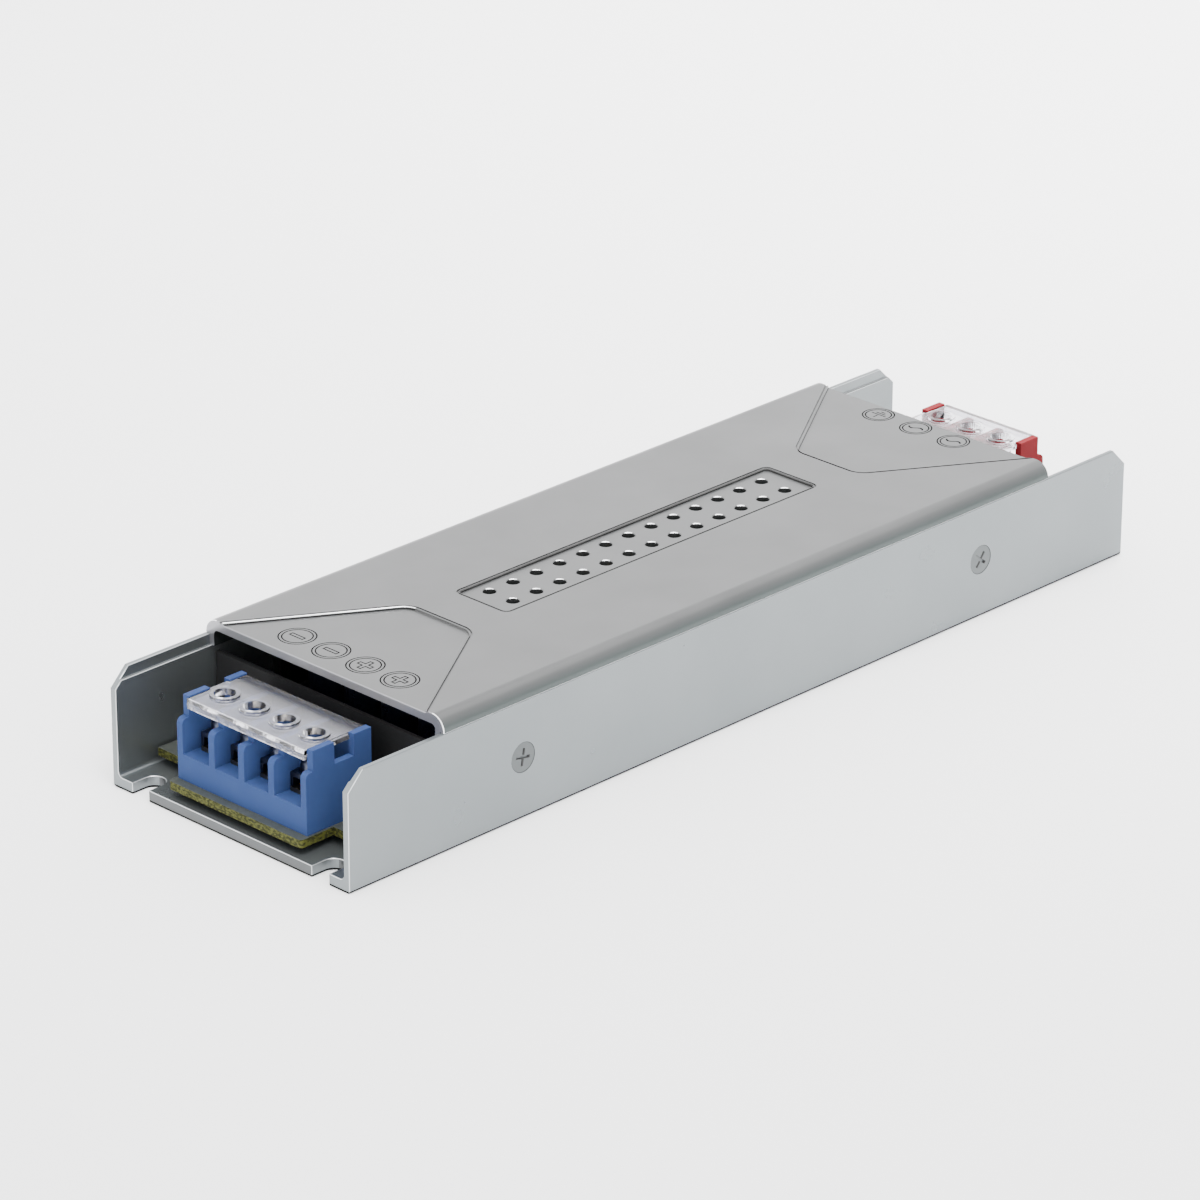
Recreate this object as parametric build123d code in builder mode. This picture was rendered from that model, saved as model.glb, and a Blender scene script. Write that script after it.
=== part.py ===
"""Slim enclosed power supply with a screw terminal block in the open bay at each end.

Millimetres. X runs along the case, with the output end at -X and the input end at +X. Z runs up
from the underside, and the origin is the middle of the underside. Everything that repeats at both
ends is drawn at the output end and turned half a turn about Z for the input end.
"""

from build123d import *
from math import cos, pi, sin
import os

os.makedirs("parts", exist_ok=True)

# Case channel
channel_length = 204.0
channel_width = 60.7
channel_height = 22.5
base_thickness = 2.2
wall_thickness = 1.4
wall_end_chamfer = 3.5
lip_height = 2.1
lip_thickness = 0.95
channel_outer_fillet = 0.5
channel_inner_fillet = 1.0
mount_slot_width = 4.3
mount_slot_depth = 5.3
mount_slot_spacing = 46.2

# Top cover
end_bay_length = 22.6
cover_rise = 3.1
cover_thickness = 2.0
cover_side_thickness = 2.2
cover_shoulder_radius = 2.9
cover_inner_radius = 0.9
cover_fit = 0.05
panel_recess = 0.45
panel_edge_margin = 4.2
panel_length = 28.6
panel_narrow_width = 15.6
panel_corner_radius = 1.8
vent_panel_length = 81.0
vent_panel_width = 12.4
vent_panel_radius = 0.9
vent_pitch = 5.95
vent_columns = 13
vent_rows = 2
vent_diameter = 2.5
lug_width = 9.0
lug_thickness = 2.0
lug_drop = 13.0
lug_clearance = 0.1

# Case screws
case_screw_inset = 41.6
case_screw_height = 11.75
case_screw_diameter = 3.0
case_screw_head_diameter = 5.6
case_screw_length = 5.5
screw_play = 0.03
fillet_limit_share = 0.95
cross_recess_width = 0.7
cross_recess_share = 0.62
cross_recess_depth_share = 0.65

# Circuit board on its spacers
board_thickness = 1.55
board_gap = 1.37
board_side_clearance = 0.65
board_end_setback = 8.9
tongue_setback = 1.2
tongue_margin = 0.5
tongue_corner_radius = 0.8
spacer_diameter = 6.0
spacer_inset = 8.0
spacer_side_inset = 4.8
board_screw_diameter = 3.0
board_screw_head_diameter = 5.2
board_screw_head_height = 1.7
board_screw_bite = 1.5
film_thickness = 0.35
film_margin = 2.5
film_end_setback = 11.0

# Terminal blocks, heights measured up from the board
terminal_pitch = 7.62
output_poles = 4
input_poles = 3
block_end_allowance = 1.26
block_side_wall = 1.4
block_divider = 1.5
block_rear_wall = 1.6
block_setback = 3.15
block_depth = 15.4
block_tall_setback = 1.65
block_floor = 5.0
block_divider_height = 11.7
block_height = 15.6
block_front_radius = 1.1
keeper_notch_start = 4.1
keeper_notch_length = 4.6
keeper_notch_drop = 4.1
screw_setback = 6.85

# Contacts, clamps and terminal screws
contact_thickness = 0.8
contact_width = 5.4
contact_front_gap = 3.4
contact_pin_width = 1.4
pin_play = 0.12
pin_stickout = 1.0
contact_pin_inset = 1.3
clamp_width = 5.7
clamp_length = 6.6
clamp_height = 2.9
clamp_thickness = 1.0
clamp_leg_thickness = 0.7
clamp_rest_gap = 0.05
clamp_edge_radius = 0.4
terminal_screw_diameter = 3.0
terminal_screw_head_diameter = 5.2
terminal_screw_head_height = 2.1
terminal_screw_length = 7.6
terminal_screw_play = 0.15
terminal_screw_bottom_play = 0.4

# Clear terminal covers
lid_thickness = 1.0
lid_play = 0.15
lid_top_drop = 0.2
lid_apron_height = 1.9
lid_apron_thickness = 0.8
lid_apron_reach = 0.55
lid_rear_setback = 0.25
lid_collar_diameter = 5.2
lid_collar_height = 0.4
lid_hole_diameter = 3.7
lid_tab_drop = 1.9
lid_tab_play = 0.2

# Insulating barriers between the end bays and the inside
barrier_setback = 23.4
barrier_thickness = 0.8
barrier_cover_gap = 1.28
barrier_foot = 4.0
barrier_side_gap = 0.3

# Input filter
fuse_length = 8.4
fuse_width = 4.2
fuse_height = 7.6
varistor_diameter = 9.0
varistor_thickness = 4.0
lead_diameter = 0.7
lead_height = 1.2
film_cap_length = 13.0
film_cap_width = 7.5
film_cap_height = 12.5
choke_core_outer = 15.0
choke_core_inner = 8.0
choke_core_height = 7.0
choke_winding = 1.3
choke_winding_arc = 130.0
choke_side_shift = 5.4
bridge_length = 14.0
bridge_width = 3.6
bridge_height = 10.0
bridge_side_shift = 14.7
disc_cap_diameter = 8.0
disc_cap_thickness = 3.2
disc_edge_share = 0.3
moulded_edge = 0.4

# Primary side
bulk_cap_diameter = 15.5
bulk_cap_length = 20.0
bulk_cap_spacing = 17.5
bulk_cap_groove = 0.6
bulk_cap_groove_width = 1.2
bulk_cap_groove_place = 3.0
seat_gap = 0.1
transformer_length = 26.0
transformer_width = 30.0
bobbin_flange_reach = 2.7
core_leg = 5.0
bobbin_wall = 1.0
bobbin_lift = 0.4
bobbin_cover_gap = 1.68
bobbin_play = 0.1
winding_margin = 0.6
winding_corner_radius = 1.8
rail_width = 3.2
rail_height = 2.2
controller_length = 9.6
controller_width = 6.4
controller_height = 3.4

# Output side
inductor_core_diameter = 12.0
inductor_post_diameter = 7.0
inductor_flange = 1.6
inductor_height = 12.0
inductor_winding_margin = 0.5
coupler_length = 4.6
coupler_width = 6.5
coupler_height = 3.5
output_cap_diameter = 8.0
output_cap_cover_gap = 3.48
output_cap_edge = 0.48
output_cap_pitch = 9.4
output_cap_rows = 4
output_cap_columns = 2

# Power devices clamped to the walls
device_width = 10.0
device_body_height = 8.6
device_thickness = 4.4
device_cover_gap = 0.68
device_tab_thickness = 1.3
device_lift = 1.2
device_leg_width = 0.9
device_leg_pitch = 2.54
thermal_pad_thickness = 0.4
thermal_pad_margin = 0.4
spring_thickness = 0.6
spring_width = 6.0
spring_foot = 3.0
spring_height = 8.0

# Sizes that follow from the ones above
half_length = channel_length / 2
half_width = channel_width / 2
wall_inner = half_width - wall_thickness
ledge_height = channel_height - lip_height
cover_length = channel_length - 2 * end_bay_length
cover_half = cover_length / 2
case_top = channel_height + cover_rise
cover_underside = case_top - cover_thickness
board_bottom = base_thickness + board_gap
board_top = board_bottom + board_thickness
board_half_length = half_length - board_end_setback
board_half_width = wall_inner - board_side_clearance
tongue_end = half_length - tongue_setback
block_front = half_length - block_setback
block_rear = block_front - block_depth
block_tall_front = block_front - block_tall_setback
block_floor_z = board_top + block_floor
block_top = board_top + block_height
screw_x = -(block_front - screw_setback)
contact_top = block_floor_z + contact_thickness
clamp_bottom = contact_top + clamp_rest_gap
clamp_top = clamp_bottom + clamp_height
lid_top = block_top - lid_top_drop
lid_bottom = lid_top - lid_thickness
barrier_x = half_length - barrier_setback
case_screw_x = half_length - case_screw_inset
spacer_x = barrier_x - spacer_inset
spacer_y = board_half_width - spacer_side_inset
lug_outer = wall_inner - lug_clearance
bobbin_bottom = board_top + bobbin_lift
bobbin_height = cover_underside - bobbin_cover_gap - bobbin_bottom
transformer_core_height = bobbin_height - 2 * bobbin_flange_reach
core_z = bobbin_bottom + bobbin_height / 2
barrier_height = ledge_height - barrier_cover_gap - board_top
output_cap_height = cover_underside - output_cap_cover_gap - board_top
device_foot = board_top + device_lift
device_tab_height = ledge_height - device_cover_gap - device_foot - device_body_height


def block_width(poles):
    """Overall width of a terminal block with this many poles."""
    return poles * terminal_pitch + 2 * block_end_allowance


def pole_positions(poles):
    """Y of each pole, from the +Y side of the case to the -Y side."""
    return [((poles - 1) / 2 - pole) * terminal_pitch for pole in range(poles)]


def finish(builder, label):
    """Names a finished piece and writes it."""
    builder.part.label = label
    export_step(builder.part, f"parts/{label}.step")


def turned(builder):
    """The same piece at the input end."""
    with BuildPart() as at_input_end:
        add(builder.part, rotation=(0, 0, 180))
    return at_input_end


# Base channel: a folded section with a rebated lip, slotted at its ends and countersunk at its sides
with BuildPart() as base_channel:
    with BuildSketch(Plane.YZ) as channel_section:
        with BuildLine():
            Polyline(
                (0, 0),
                (half_width, 0),
                (half_width, channel_height),
                (half_width - lip_thickness, channel_height),
                (half_width - lip_thickness, ledge_height),
                (wall_inner, ledge_height),
                (wall_inner, base_thickness),
                (0, base_thickness),
                close=True,
            )
        make_face()
        fillet(channel_section.vertices().group_by(Axis.Y)[0].sort_by(Axis.X)[-1], channel_outer_fillet)
        inner_corner = [
            vertex
            for vertex in channel_section.vertices()
            if abs(vertex.X - wall_inner) < 0.01 and abs(vertex.Y - base_thickness) < 0.01
        ]
        fillet(inner_corner, channel_inner_fillet)
        mirror(about=Plane.YZ)
    extrude(amount=half_length, both=True)
    with BuildSketch(Plane.XZ) as wall_corners:
        for side in (-1, 1):
            with BuildLine():
                Polyline(
                    (side * half_length, channel_height - wall_end_chamfer),
                    (side * half_length, channel_height),
                    (side * (half_length - wall_end_chamfer), channel_height),
                    close=True,
                )
            make_face()
    extrude(amount=half_width, both=True, mode=Mode.SUBTRACT)
    with BuildSketch(Plane.XY):
        with GridLocations(channel_length, mount_slot_spacing, 2, 2):
            SlotOverall(2 * mount_slot_depth, mount_slot_width)
    extrude(amount=base_thickness, mode=Mode.SUBTRACT)
    for side in (-1, 1):
        for screw in (-1, 1):
            wall_place = Plane(
                origin=(screw * case_screw_x, side * half_width, case_screw_height), z_dir=(0, side, 0)
            )
            with Locations(wall_place):
                CounterSinkHole(
                    radius=case_screw_diameter / 2 + screw_play,
                    counter_sink_radius=case_screw_head_diameter / 2 + screw_play,
                    depth=wall_thickness + channel_inner_fillet,
                    counter_sink_angle=90,
                )
    with BuildSketch(Plane.XY.offset(base_thickness)):
        with GridLocations(spacer_x, 2 * spacer_y, 3, 2):
            Circle(board_screw_diameter / 2 + screw_play)
    extrude(amount=-board_screw_bite, mode=Mode.SUBTRACT)
finish(base_channel, "base_channel")


# Top cover: a pressed lid whose tongues drop inside the channel's lips, with four tapped lugs
def panel_corners(side):
    """Corners of the recess at one end of the cover, wide at the end and narrow towards the middle."""
    wide = half_width - panel_edge_margin
    narrow = panel_narrow_width / 2
    return [
        (side * (cover_half + panel_recess), wide),
        (side * (cover_half - panel_length), narrow),
        (side * (cover_half - panel_length), -narrow),
        (side * (cover_half + panel_recess), -wide),
    ]


def cross_recess(head_diameter):
    """Plan of the cross that a driver turns."""
    with BuildSketch() as recess:
        Rectangle(head_diameter * cross_recess_share, cross_recess_width)
        Rectangle(cross_recess_width, head_diameter * cross_recess_share)
    return recess.sketch


with BuildPart() as top_cover:
    with BuildSketch(Plane.YZ) as cover_section:
        tongue_outer = half_width - lip_thickness - cover_fit
        side_inner = half_width - cover_side_thickness
        with BuildLine():
            Polyline(
                (0, case_top),
                (half_width, case_top),
                (half_width, channel_height),
                (tongue_outer, channel_height),
                (tongue_outer, ledge_height),
                (side_inner, ledge_height),
                (side_inner, cover_underside),
                (0, cover_underside),
                close=True,
            )
        make_face()
        shoulder = cover_section.vertices().group_by(Axis.Y)[-1].sort_by(Axis.X)[-1]
        fillet(shoulder, min(cover_shoulder_radius, fillet_limit_share * cover_rise))
        inner_corner = [
            vertex
            for vertex in cover_section.vertices()
            if abs(vertex.X - side_inner) < 0.01 and abs(vertex.Y - cover_underside) < 0.01
        ]
        fillet(inner_corner, cover_inner_radius)
        mirror(about=Plane.YZ)
    extrude(amount=cover_half, both=True)
    with BuildSketch(Plane.XY.offset(cover_underside)):
        for side in (-1, 1):
            with Locations((0, side * (lug_outer - lug_thickness / 2))):
                with GridLocations(2 * case_screw_x, 1, 2, 1):
                    Rectangle(lug_width, lug_thickness)
    extrude(amount=-lug_drop - (cover_underside - ledge_height))
    for side in (-1, 1):
        with Locations(*[
            Plane(origin=(screw * case_screw_x, side * lug_outer, case_screw_height), z_dir=(0, side, 0))
            for screw in (-1, 1)
        ]):
            Hole(radius=case_screw_diameter / 2 + screw_play, depth=2 * lug_thickness)
    with BuildSketch(Plane.XY.offset(case_top)):
        for side in (-1, 1):
            with BuildLine():
                FilletPolyline(*panel_corners(side), radius=panel_corner_radius)
                Line(panel_corners(side)[-1], panel_corners(side)[0])
            make_face()
        RectangleRounded(vent_panel_length, vent_panel_width, vent_panel_radius)
    extrude(amount=-panel_recess, mode=Mode.SUBTRACT)
    with BuildSketch(Plane.XY.offset(case_top)):
        with GridLocations(vent_pitch, vent_pitch, vent_columns, vent_rows):
            Circle(vent_diameter / 2)
    extrude(amount=-cover_thickness - panel_recess, mode=Mode.SUBTRACT)
finish(top_cover, "top_cover")


# Case screws: countersunk, through the walls into the cover's lugs
with BuildPart() as case_screws:
    for side in (-1, 1):
        for screw in (-1, 1):
            centre = (screw * case_screw_x, side * half_width, case_screw_height)
            head_plane = Plane(origin=centre, z_dir=(0, side, 0))
            head_depth = (case_screw_head_diameter - case_screw_diameter) / 2
            with BuildSketch(head_plane):
                Circle(case_screw_head_diameter / 2)
            extrude(amount=-head_depth, taper=45)
            with BuildSketch(head_plane.offset(-head_depth)):
                Circle(case_screw_diameter / 2)
            extrude(amount=-(case_screw_length - head_depth))
            with BuildSketch(head_plane):
                add(cross_recess(case_screw_head_diameter))
            extrude(amount=-head_depth * cross_recess_depth_share, mode=Mode.SUBTRACT)
finish(case_screws, "case_screws")


# Insulating film laid on the base, with holes round the spacers
with BuildPart() as insulating_film:
    with BuildSketch(Plane.XY.offset(base_thickness)):
        Rectangle(2 * (half_length - film_end_setback), 2 * (wall_inner - film_margin))
        with GridLocations(spacer_x, 2 * spacer_y, 3, 2):
            Circle(spacer_diameter / 2 + lug_clearance, mode=Mode.SUBTRACT)
    extrude(amount=film_thickness)
finish(insulating_film, "insulating_film")

# Spacers under the board and the screws through it
with BuildPart() as board_spacers:
    with BuildSketch(Plane.XY.offset(base_thickness)):
        with GridLocations(spacer_x, 2 * spacer_y, 3, 2):
            Circle(spacer_diameter / 2)
            Circle(board_screw_diameter / 2 + screw_play, mode=Mode.SUBTRACT)
    extrude(amount=board_gap)
finish(board_spacers, "board_spacers")

with BuildPart() as board_screws:
    with BuildSketch(Plane.XY.offset(base_thickness - board_screw_bite)):
        with GridLocations(spacer_x, 2 * spacer_y, 3, 2):
            Circle(board_screw_diameter / 2)
    extrude(amount=board_screw_bite + board_gap + board_thickness)
    with BuildSketch(Plane.XY.offset(board_top)):
        with GridLocations(spacer_x, 2 * spacer_y, 3, 2):
            Circle(board_screw_head_diameter / 2)
    extrude(amount=board_screw_head_height)
    with BuildSketch(Plane.XY.offset(board_top + board_screw_head_height)):
        with GridLocations(spacer_x, 2 * spacer_y, 3, 2):
            add(cross_recess(board_screw_head_diameter))
    extrude(amount=-board_screw_head_height * cross_recess_depth_share, mode=Mode.SUBTRACT)
finish(board_screws, "board_screws")

# Circuit board with a tongue under each terminal block
pin_x = -(block_rear + block_rear_wall + contact_pin_inset)
with BuildPart() as circuit_board:
    with BuildSketch(Plane.XY.offset(board_bottom)) as board_outline:
        Rectangle(2 * board_half_length, 2 * board_half_width)
        for side, poles in ((-1, output_poles), (1, input_poles)):
            with Locations((side * tongue_end / 2, 0)):
                Rectangle(tongue_end, block_width(poles) + 2 * tongue_margin)
        tongue_corners = board_outline.vertices().group_by(Axis.X)
        fillet(tongue_corners[0] + tongue_corners[-1], tongue_corner_radius)
        with GridLocations(spacer_x, 2 * spacer_y, 3, 2):
            Circle(board_screw_diameter / 2 + lug_clearance, mode=Mode.SUBTRACT)
        for side, poles in ((-1, output_poles), (1, input_poles)):
            with Locations(*[(-side * pin_x, y) for y in pole_positions(poles)]):
                Circle(contact_pin_width / 2 + pin_play, mode=Mode.SUBTRACT)
    extrude(amount=board_thickness)
finish(circuit_board, "circuit_board")


def terminal_block(poles):
    """Moulded block at the output end: open compartments, tall ears and notches for the clear cover."""
    width = block_width(poles)
    inner_half = width / 2 - block_side_wall
    divider_front = block_tall_front - lid_apron_thickness
    divider_top = board_top + block_divider_height
    rear_wall_front = block_rear + block_rear_wall
    with BuildPart() as block:
        with BuildSketch(Plane.XZ) as side_outline:
            with BuildLine():
                Polyline(
                    (-block_rear, board_top),
                    (-block_front, board_top),
                    (-block_front, divider_top),
                    (-block_tall_front, divider_top),
                    (-block_tall_front, block_top),
                    (-block_rear, block_top),
                    close=True,
                )
            make_face()
            front_top = side_outline.vertices().group_by(Axis.X)[0].sort_by(Axis.Y)[-1]
            fillet(front_top, min(block_front_radius, fillet_limit_share * block_tall_setback))
        extrude(amount=width / 2, both=True)
        with BuildSketch(Plane.XY.offset(block_floor_z)):
            with Locations((-(block_front + rear_wall_front) / 2 - block_setback, 0)):
                Rectangle(block_front - rear_wall_front + 2 * block_setback, 2 * inner_half)
        extrude(amount=block_height, mode=Mode.SUBTRACT)
        with BuildSketch(Plane.XY.offset(lid_bottom)):
            with Locations((-(block_front + block_rear) / 2, 0)):
                Rectangle(2 * block_depth, 2 * inner_half)
        extrude(amount=block_height, mode=Mode.SUBTRACT)
        for divider in range(1, poles):
            divider_y = (poles / 2 - divider) * terminal_pitch
            with BuildSketch(Plane.XZ.offset(-divider_y)) as divider_outline:
                with BuildLine():
                    Polyline(
                        (-rear_wall_front, block_floor_z),
                        (-block_front, block_floor_z),
                        (-block_front, divider_top),
                        (-divider_front, divider_top),
                        (-divider_front, lid_bottom),
                        (-rear_wall_front, lid_bottom),
                        close=True,
                    )
                make_face()
                front_top = divider_outline.vertices().group_by(Axis.X)[0].sort_by(Axis.Y)[-1]
                fillet(front_top, block_front_radius)
            extrude(amount=block_divider / 2, both=True)
        notch_x = -(block_rear + keeper_notch_start + keeper_notch_length / 2)
        with BuildSketch(Plane.XY.offset(block_top)):
            with Locations((notch_x, 0)):
                Rectangle(keeper_notch_length, 2 * width)
                Rectangle(keeper_notch_length, 2 * inner_half, mode=Mode.SUBTRACT)
        extrude(amount=-keeper_notch_drop, mode=Mode.SUBTRACT)
        with BuildSketch(Plane.XY.offset(block_floor_z)):
            with Locations(*[(screw_x, y) for y in pole_positions(poles)]):
                Circle(terminal_screw_diameter / 2 + terminal_screw_play)
        extrude(amount=-(terminal_screw_length + terminal_screw_bottom_play - clamp_top + block_floor_z),
                mode=Mode.SUBTRACT)
        with BuildSketch(Plane.XY.offset(block_floor_z)):
            with Locations(*[(pin_x, y) for y in pole_positions(poles)]):
                Rectangle(contact_thickness + 2 * pin_play, contact_pin_width + 2 * pin_play)
        extrude(amount=-block_floor, mode=Mode.SUBTRACT)
    return block


def contacts(poles):
    """Contact strips on the compartment floors, each with a pin down through the board."""
    strip_front = block_front - contact_front_gap
    strip_rear = -pin_x - contact_thickness / 2
    with BuildPart() as strips:
        with BuildSketch(Plane.XY.offset(block_floor_z)):
            for y in pole_positions(poles):
                with Locations((-(strip_front + strip_rear) / 2, y)):
                    Rectangle(strip_front - strip_rear, contact_width)
                with Locations((screw_x, y)):
                    Circle(terminal_screw_diameter / 2 + terminal_screw_play, mode=Mode.SUBTRACT)
        extrude(amount=contact_thickness)
        with BuildSketch(Plane.XY.offset(block_floor_z)):
            with Locations(*[(pin_x, y) for y in pole_positions(poles)]):
                Rectangle(contact_thickness, contact_pin_width)
        extrude(amount=-(block_floor_z - board_bottom + pin_stickout))
    return strips


def clamp(y):
    """Saddle that presses the wire onto its contact strip, resting on the strip."""
    with BuildPart() as saddle:
        with BuildSketch(Plane.YZ.offset(screw_x)) as saddle_section:
            with Locations((y, clamp_bottom + clamp_height / 2)):
                Rectangle(clamp_width, clamp_height)
            fillet(saddle_section.vertices().group_by(Axis.Y)[-1], clamp_edge_radius)
            with Locations((y, clamp_bottom + (clamp_height - clamp_thickness) / 2)):
                Rectangle(
                    clamp_width - 2 * clamp_leg_thickness,
                    clamp_height - clamp_thickness,
                    mode=Mode.SUBTRACT,
                )
        extrude(amount=clamp_length / 2, both=True)
        with BuildSketch(Plane.XY.offset(clamp_top)):
            with Locations((screw_x, y)):
                Circle(terminal_screw_diameter / 2 + screw_play)
        extrude(amount=-clamp_thickness, mode=Mode.SUBTRACT)
    return saddle


def terminal_screw(y):
    """Cross-head screw standing on its clamp, its shank in the block's blind hole."""
    with BuildPart() as screw:
        with BuildSketch(Plane.XY.offset(clamp_top)):
            with Locations((screw_x, y)):
                Circle(terminal_screw_diameter / 2)
        extrude(amount=-terminal_screw_length)
        with BuildSketch(Plane.XY.offset(clamp_top)):
            with Locations((screw_x, y)):
                Circle(terminal_screw_head_diameter / 2)
        extrude(amount=terminal_screw_head_height)
        with BuildSketch(Plane.XY.offset(clamp_top + terminal_screw_head_height)):
            with Locations((screw_x, y)):
                add(cross_recess(terminal_screw_head_diameter))
        extrude(amount=-terminal_screw_head_height * cross_recess_depth_share, mode=Mode.SUBTRACT)
    return screw


def terminal_cover(poles):
    """Clear cover between the block's ears: apron, side tabs and a collared driver hole per pole."""
    cover_half_width = block_width(poles) / 2 - block_side_wall - lid_play
    lid_front = block_tall_front + lid_apron_reach
    lid_rear = block_rear + lid_rear_setback
    notch_x = -(block_rear + keeper_notch_start + keeper_notch_length / 2)
    with BuildPart() as lid:
        with BuildSketch(Plane.XY.offset(lid_top)):
            with Locations((-(lid_front + lid_rear) / 2, 0)):
                Rectangle(lid_front - lid_rear, 2 * cover_half_width)
        extrude(amount=-lid_thickness)
        with BuildSketch(Plane.XY.offset(lid_top)):
            with Locations((-lid_front + lid_apron_thickness / 2, 0)):
                Rectangle(lid_apron_thickness, 2 * cover_half_width)
        extrude(amount=-lid_apron_height)
        with BuildSketch(Plane.XY.offset(lid_top)):
            for side in (-1, 1):
                with Locations((notch_x, side * (cover_half_width + (block_side_wall + lid_play) / 2))):
                    Rectangle(keeper_notch_length - 2 * lid_tab_play, block_side_wall + lid_play)
        extrude(amount=-lid_tab_drop)
        with BuildSketch(Plane.XY.offset(lid_top)):
            with Locations(*[(screw_x, y) for y in pole_positions(poles)]):
                Circle(lid_collar_diameter / 2)
        extrude(amount=lid_collar_height)
        with BuildSketch(Plane.XY.offset(lid_top + lid_collar_height)):
            with Locations(*[(screw_x, y) for y in pole_positions(poles)]):
                Circle(lid_hole_diameter / 2)
        extrude(amount=-lid_collar_height - lid_thickness, mode=Mode.SUBTRACT)
    return lid


# Terminals at the output end, and the same parts turned round for the input end
finish(terminal_block(output_poles), "output_terminal_block")
finish(contacts(output_poles), "output_contacts")
finish(terminal_cover(output_poles), "output_terminal_cover")
for number, pole_y in enumerate(pole_positions(output_poles), start=1):
    finish(clamp(pole_y), f"output_clamp_{number}")
    finish(terminal_screw(pole_y), f"output_screw_{number}")

finish(turned(terminal_block(input_poles)), "input_terminal_block")
finish(turned(contacts(input_poles)), "input_contacts")
finish(turned(terminal_cover(input_poles)), "input_terminal_cover")
for number, pole_y in enumerate(pole_positions(input_poles), start=1):
    finish(turned(clamp(pole_y)), f"input_clamp_{number}")
    finish(turned(terminal_screw(pole_y)), f"input_screw_{number}")

# Folded insulating barriers standing on the board behind the terminal blocks
with BuildPart() as output_barrier:
    with BuildSketch(Plane.XZ) as barrier_section:
        with BuildLine():
            Polyline(
                (-barrier_x, board_top),
                (-barrier_x, board_top + barrier_height),
                (-barrier_x + barrier_thickness, board_top + barrier_height),
                (-barrier_x + barrier_thickness, board_top + barrier_thickness),
                (-barrier_x + barrier_foot, board_top + barrier_thickness),
                (-barrier_x + barrier_foot, board_top),
                close=True,
            )
        make_face()
    extrude(amount=wall_inner - barrier_side_gap, both=True)
finish(output_barrier, "output_barrier")
finish(turned(output_barrier), "input_barrier")

# Rows of parts on the board, spread evenly from the input barrier to the output barrier
row_end = barrier_x - barrier_foot
row_lengths = [
    film_cap_length,
    choke_core_outer + 2 * choke_winding,
    bulk_cap_length,
    transformer_length,
    inductor_core_diameter,
    output_cap_diameter + (output_cap_columns - 1) * output_cap_pitch,
]
row_gap = (2 * row_end - sum(row_lengths)) / (len(row_lengths) + 1)
row_centres = [
    row_end - row_gap * (row + 1) - sum(row_lengths[:row]) - row_lengths[row] / 2
    for row in range(len(row_lengths))
]
filter_x, choke_x, bulk_x, transformer_x, inductor_x, output_cap_x = row_centres


def box_body(x, y, length, width, height):
    """Moulded box standing on the board, with its top edges eased."""
    with BuildPart() as body:
        with BuildSketch(Plane.XY.offset(board_top)):
            with Locations((x, y)):
                Rectangle(length, width)
        extrude(amount=height)
        chamfer(body.faces().sort_by(Axis.Z)[-1].edges(), moulded_edge)
    return body


def disc_body(x, y, diameter, thickness):
    """Coated disc standing on two leads, its face along X."""
    centre_z = board_top + lead_height + diameter / 2
    with BuildPart() as body:
        with BuildSketch(Plane.XZ.offset(-y)):
            with Locations((x, centre_z)):
                Circle(diameter / 2)
        extrude(amount=thickness / 2, both=True)
        fillet(body.edges().filter_by(GeomType.CIRCLE), disc_edge_share * thickness)
        with BuildSketch(Plane.XY.offset(board_top)):
            with Locations((x, y)):
                with GridLocations(diameter / 2, 1, 2, 1):
                    Circle(lead_diameter / 2)
        extrude(amount=centre_z - board_top)
    return body


# Input filter
filter_y = film_cap_width / 2 + fuse_width
finish(box_body(filter_x, filter_y, film_cap_length, film_cap_width, film_cap_height), "line_capacitor")
finish(box_body(filter_x, 0, fuse_length, fuse_width, fuse_height), "fuse")
finish(disc_body(filter_x, -filter_y, varistor_diameter, varistor_thickness), "varistor")
finish(box_body(choke_x, -bridge_side_shift, bridge_length, bridge_width, bridge_height), "bridge_rectifier")

with BuildPart() as choke_core:
    with BuildSketch(Plane.XY.offset(board_top + choke_winding)):
        with Locations((choke_x, choke_side_shift)):
            Circle(choke_core_outer / 2)
            Circle(choke_core_inner / 2, mode=Mode.SUBTRACT)
    extrude(amount=choke_core_height)
finish(choke_core, "choke_core")

with BuildPart() as choke_windings:
    for middle_angle in (90, 270):
        start = (middle_angle - choke_winding_arc / 2) * pi / 180
        start_direction = (cos(start), sin(start), 0)
        winding_plane = Plane(
            origin=(choke_x, choke_side_shift, board_top),
            x_dir=start_direction,
            z_dir=(start_direction[1], -start_direction[0], 0),
        )
        with BuildSketch(winding_plane):
            ring_middle = (choke_core_outer + choke_core_inner) / 4
            ring_width = (choke_core_outer - choke_core_inner) / 2
            with Locations((ring_middle, choke_core_height / 2 + choke_winding)):
                Rectangle(ring_width + 2 * choke_winding, choke_core_height + 2 * choke_winding)
                Rectangle(ring_width, choke_core_height, mode=Mode.SUBTRACT)
        revolve(axis=Axis((choke_x, choke_side_shift, 0), (0, 0, 1)), revolution_arc=choke_winding_arc)
finish(choke_windings, "choke_windings")

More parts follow.
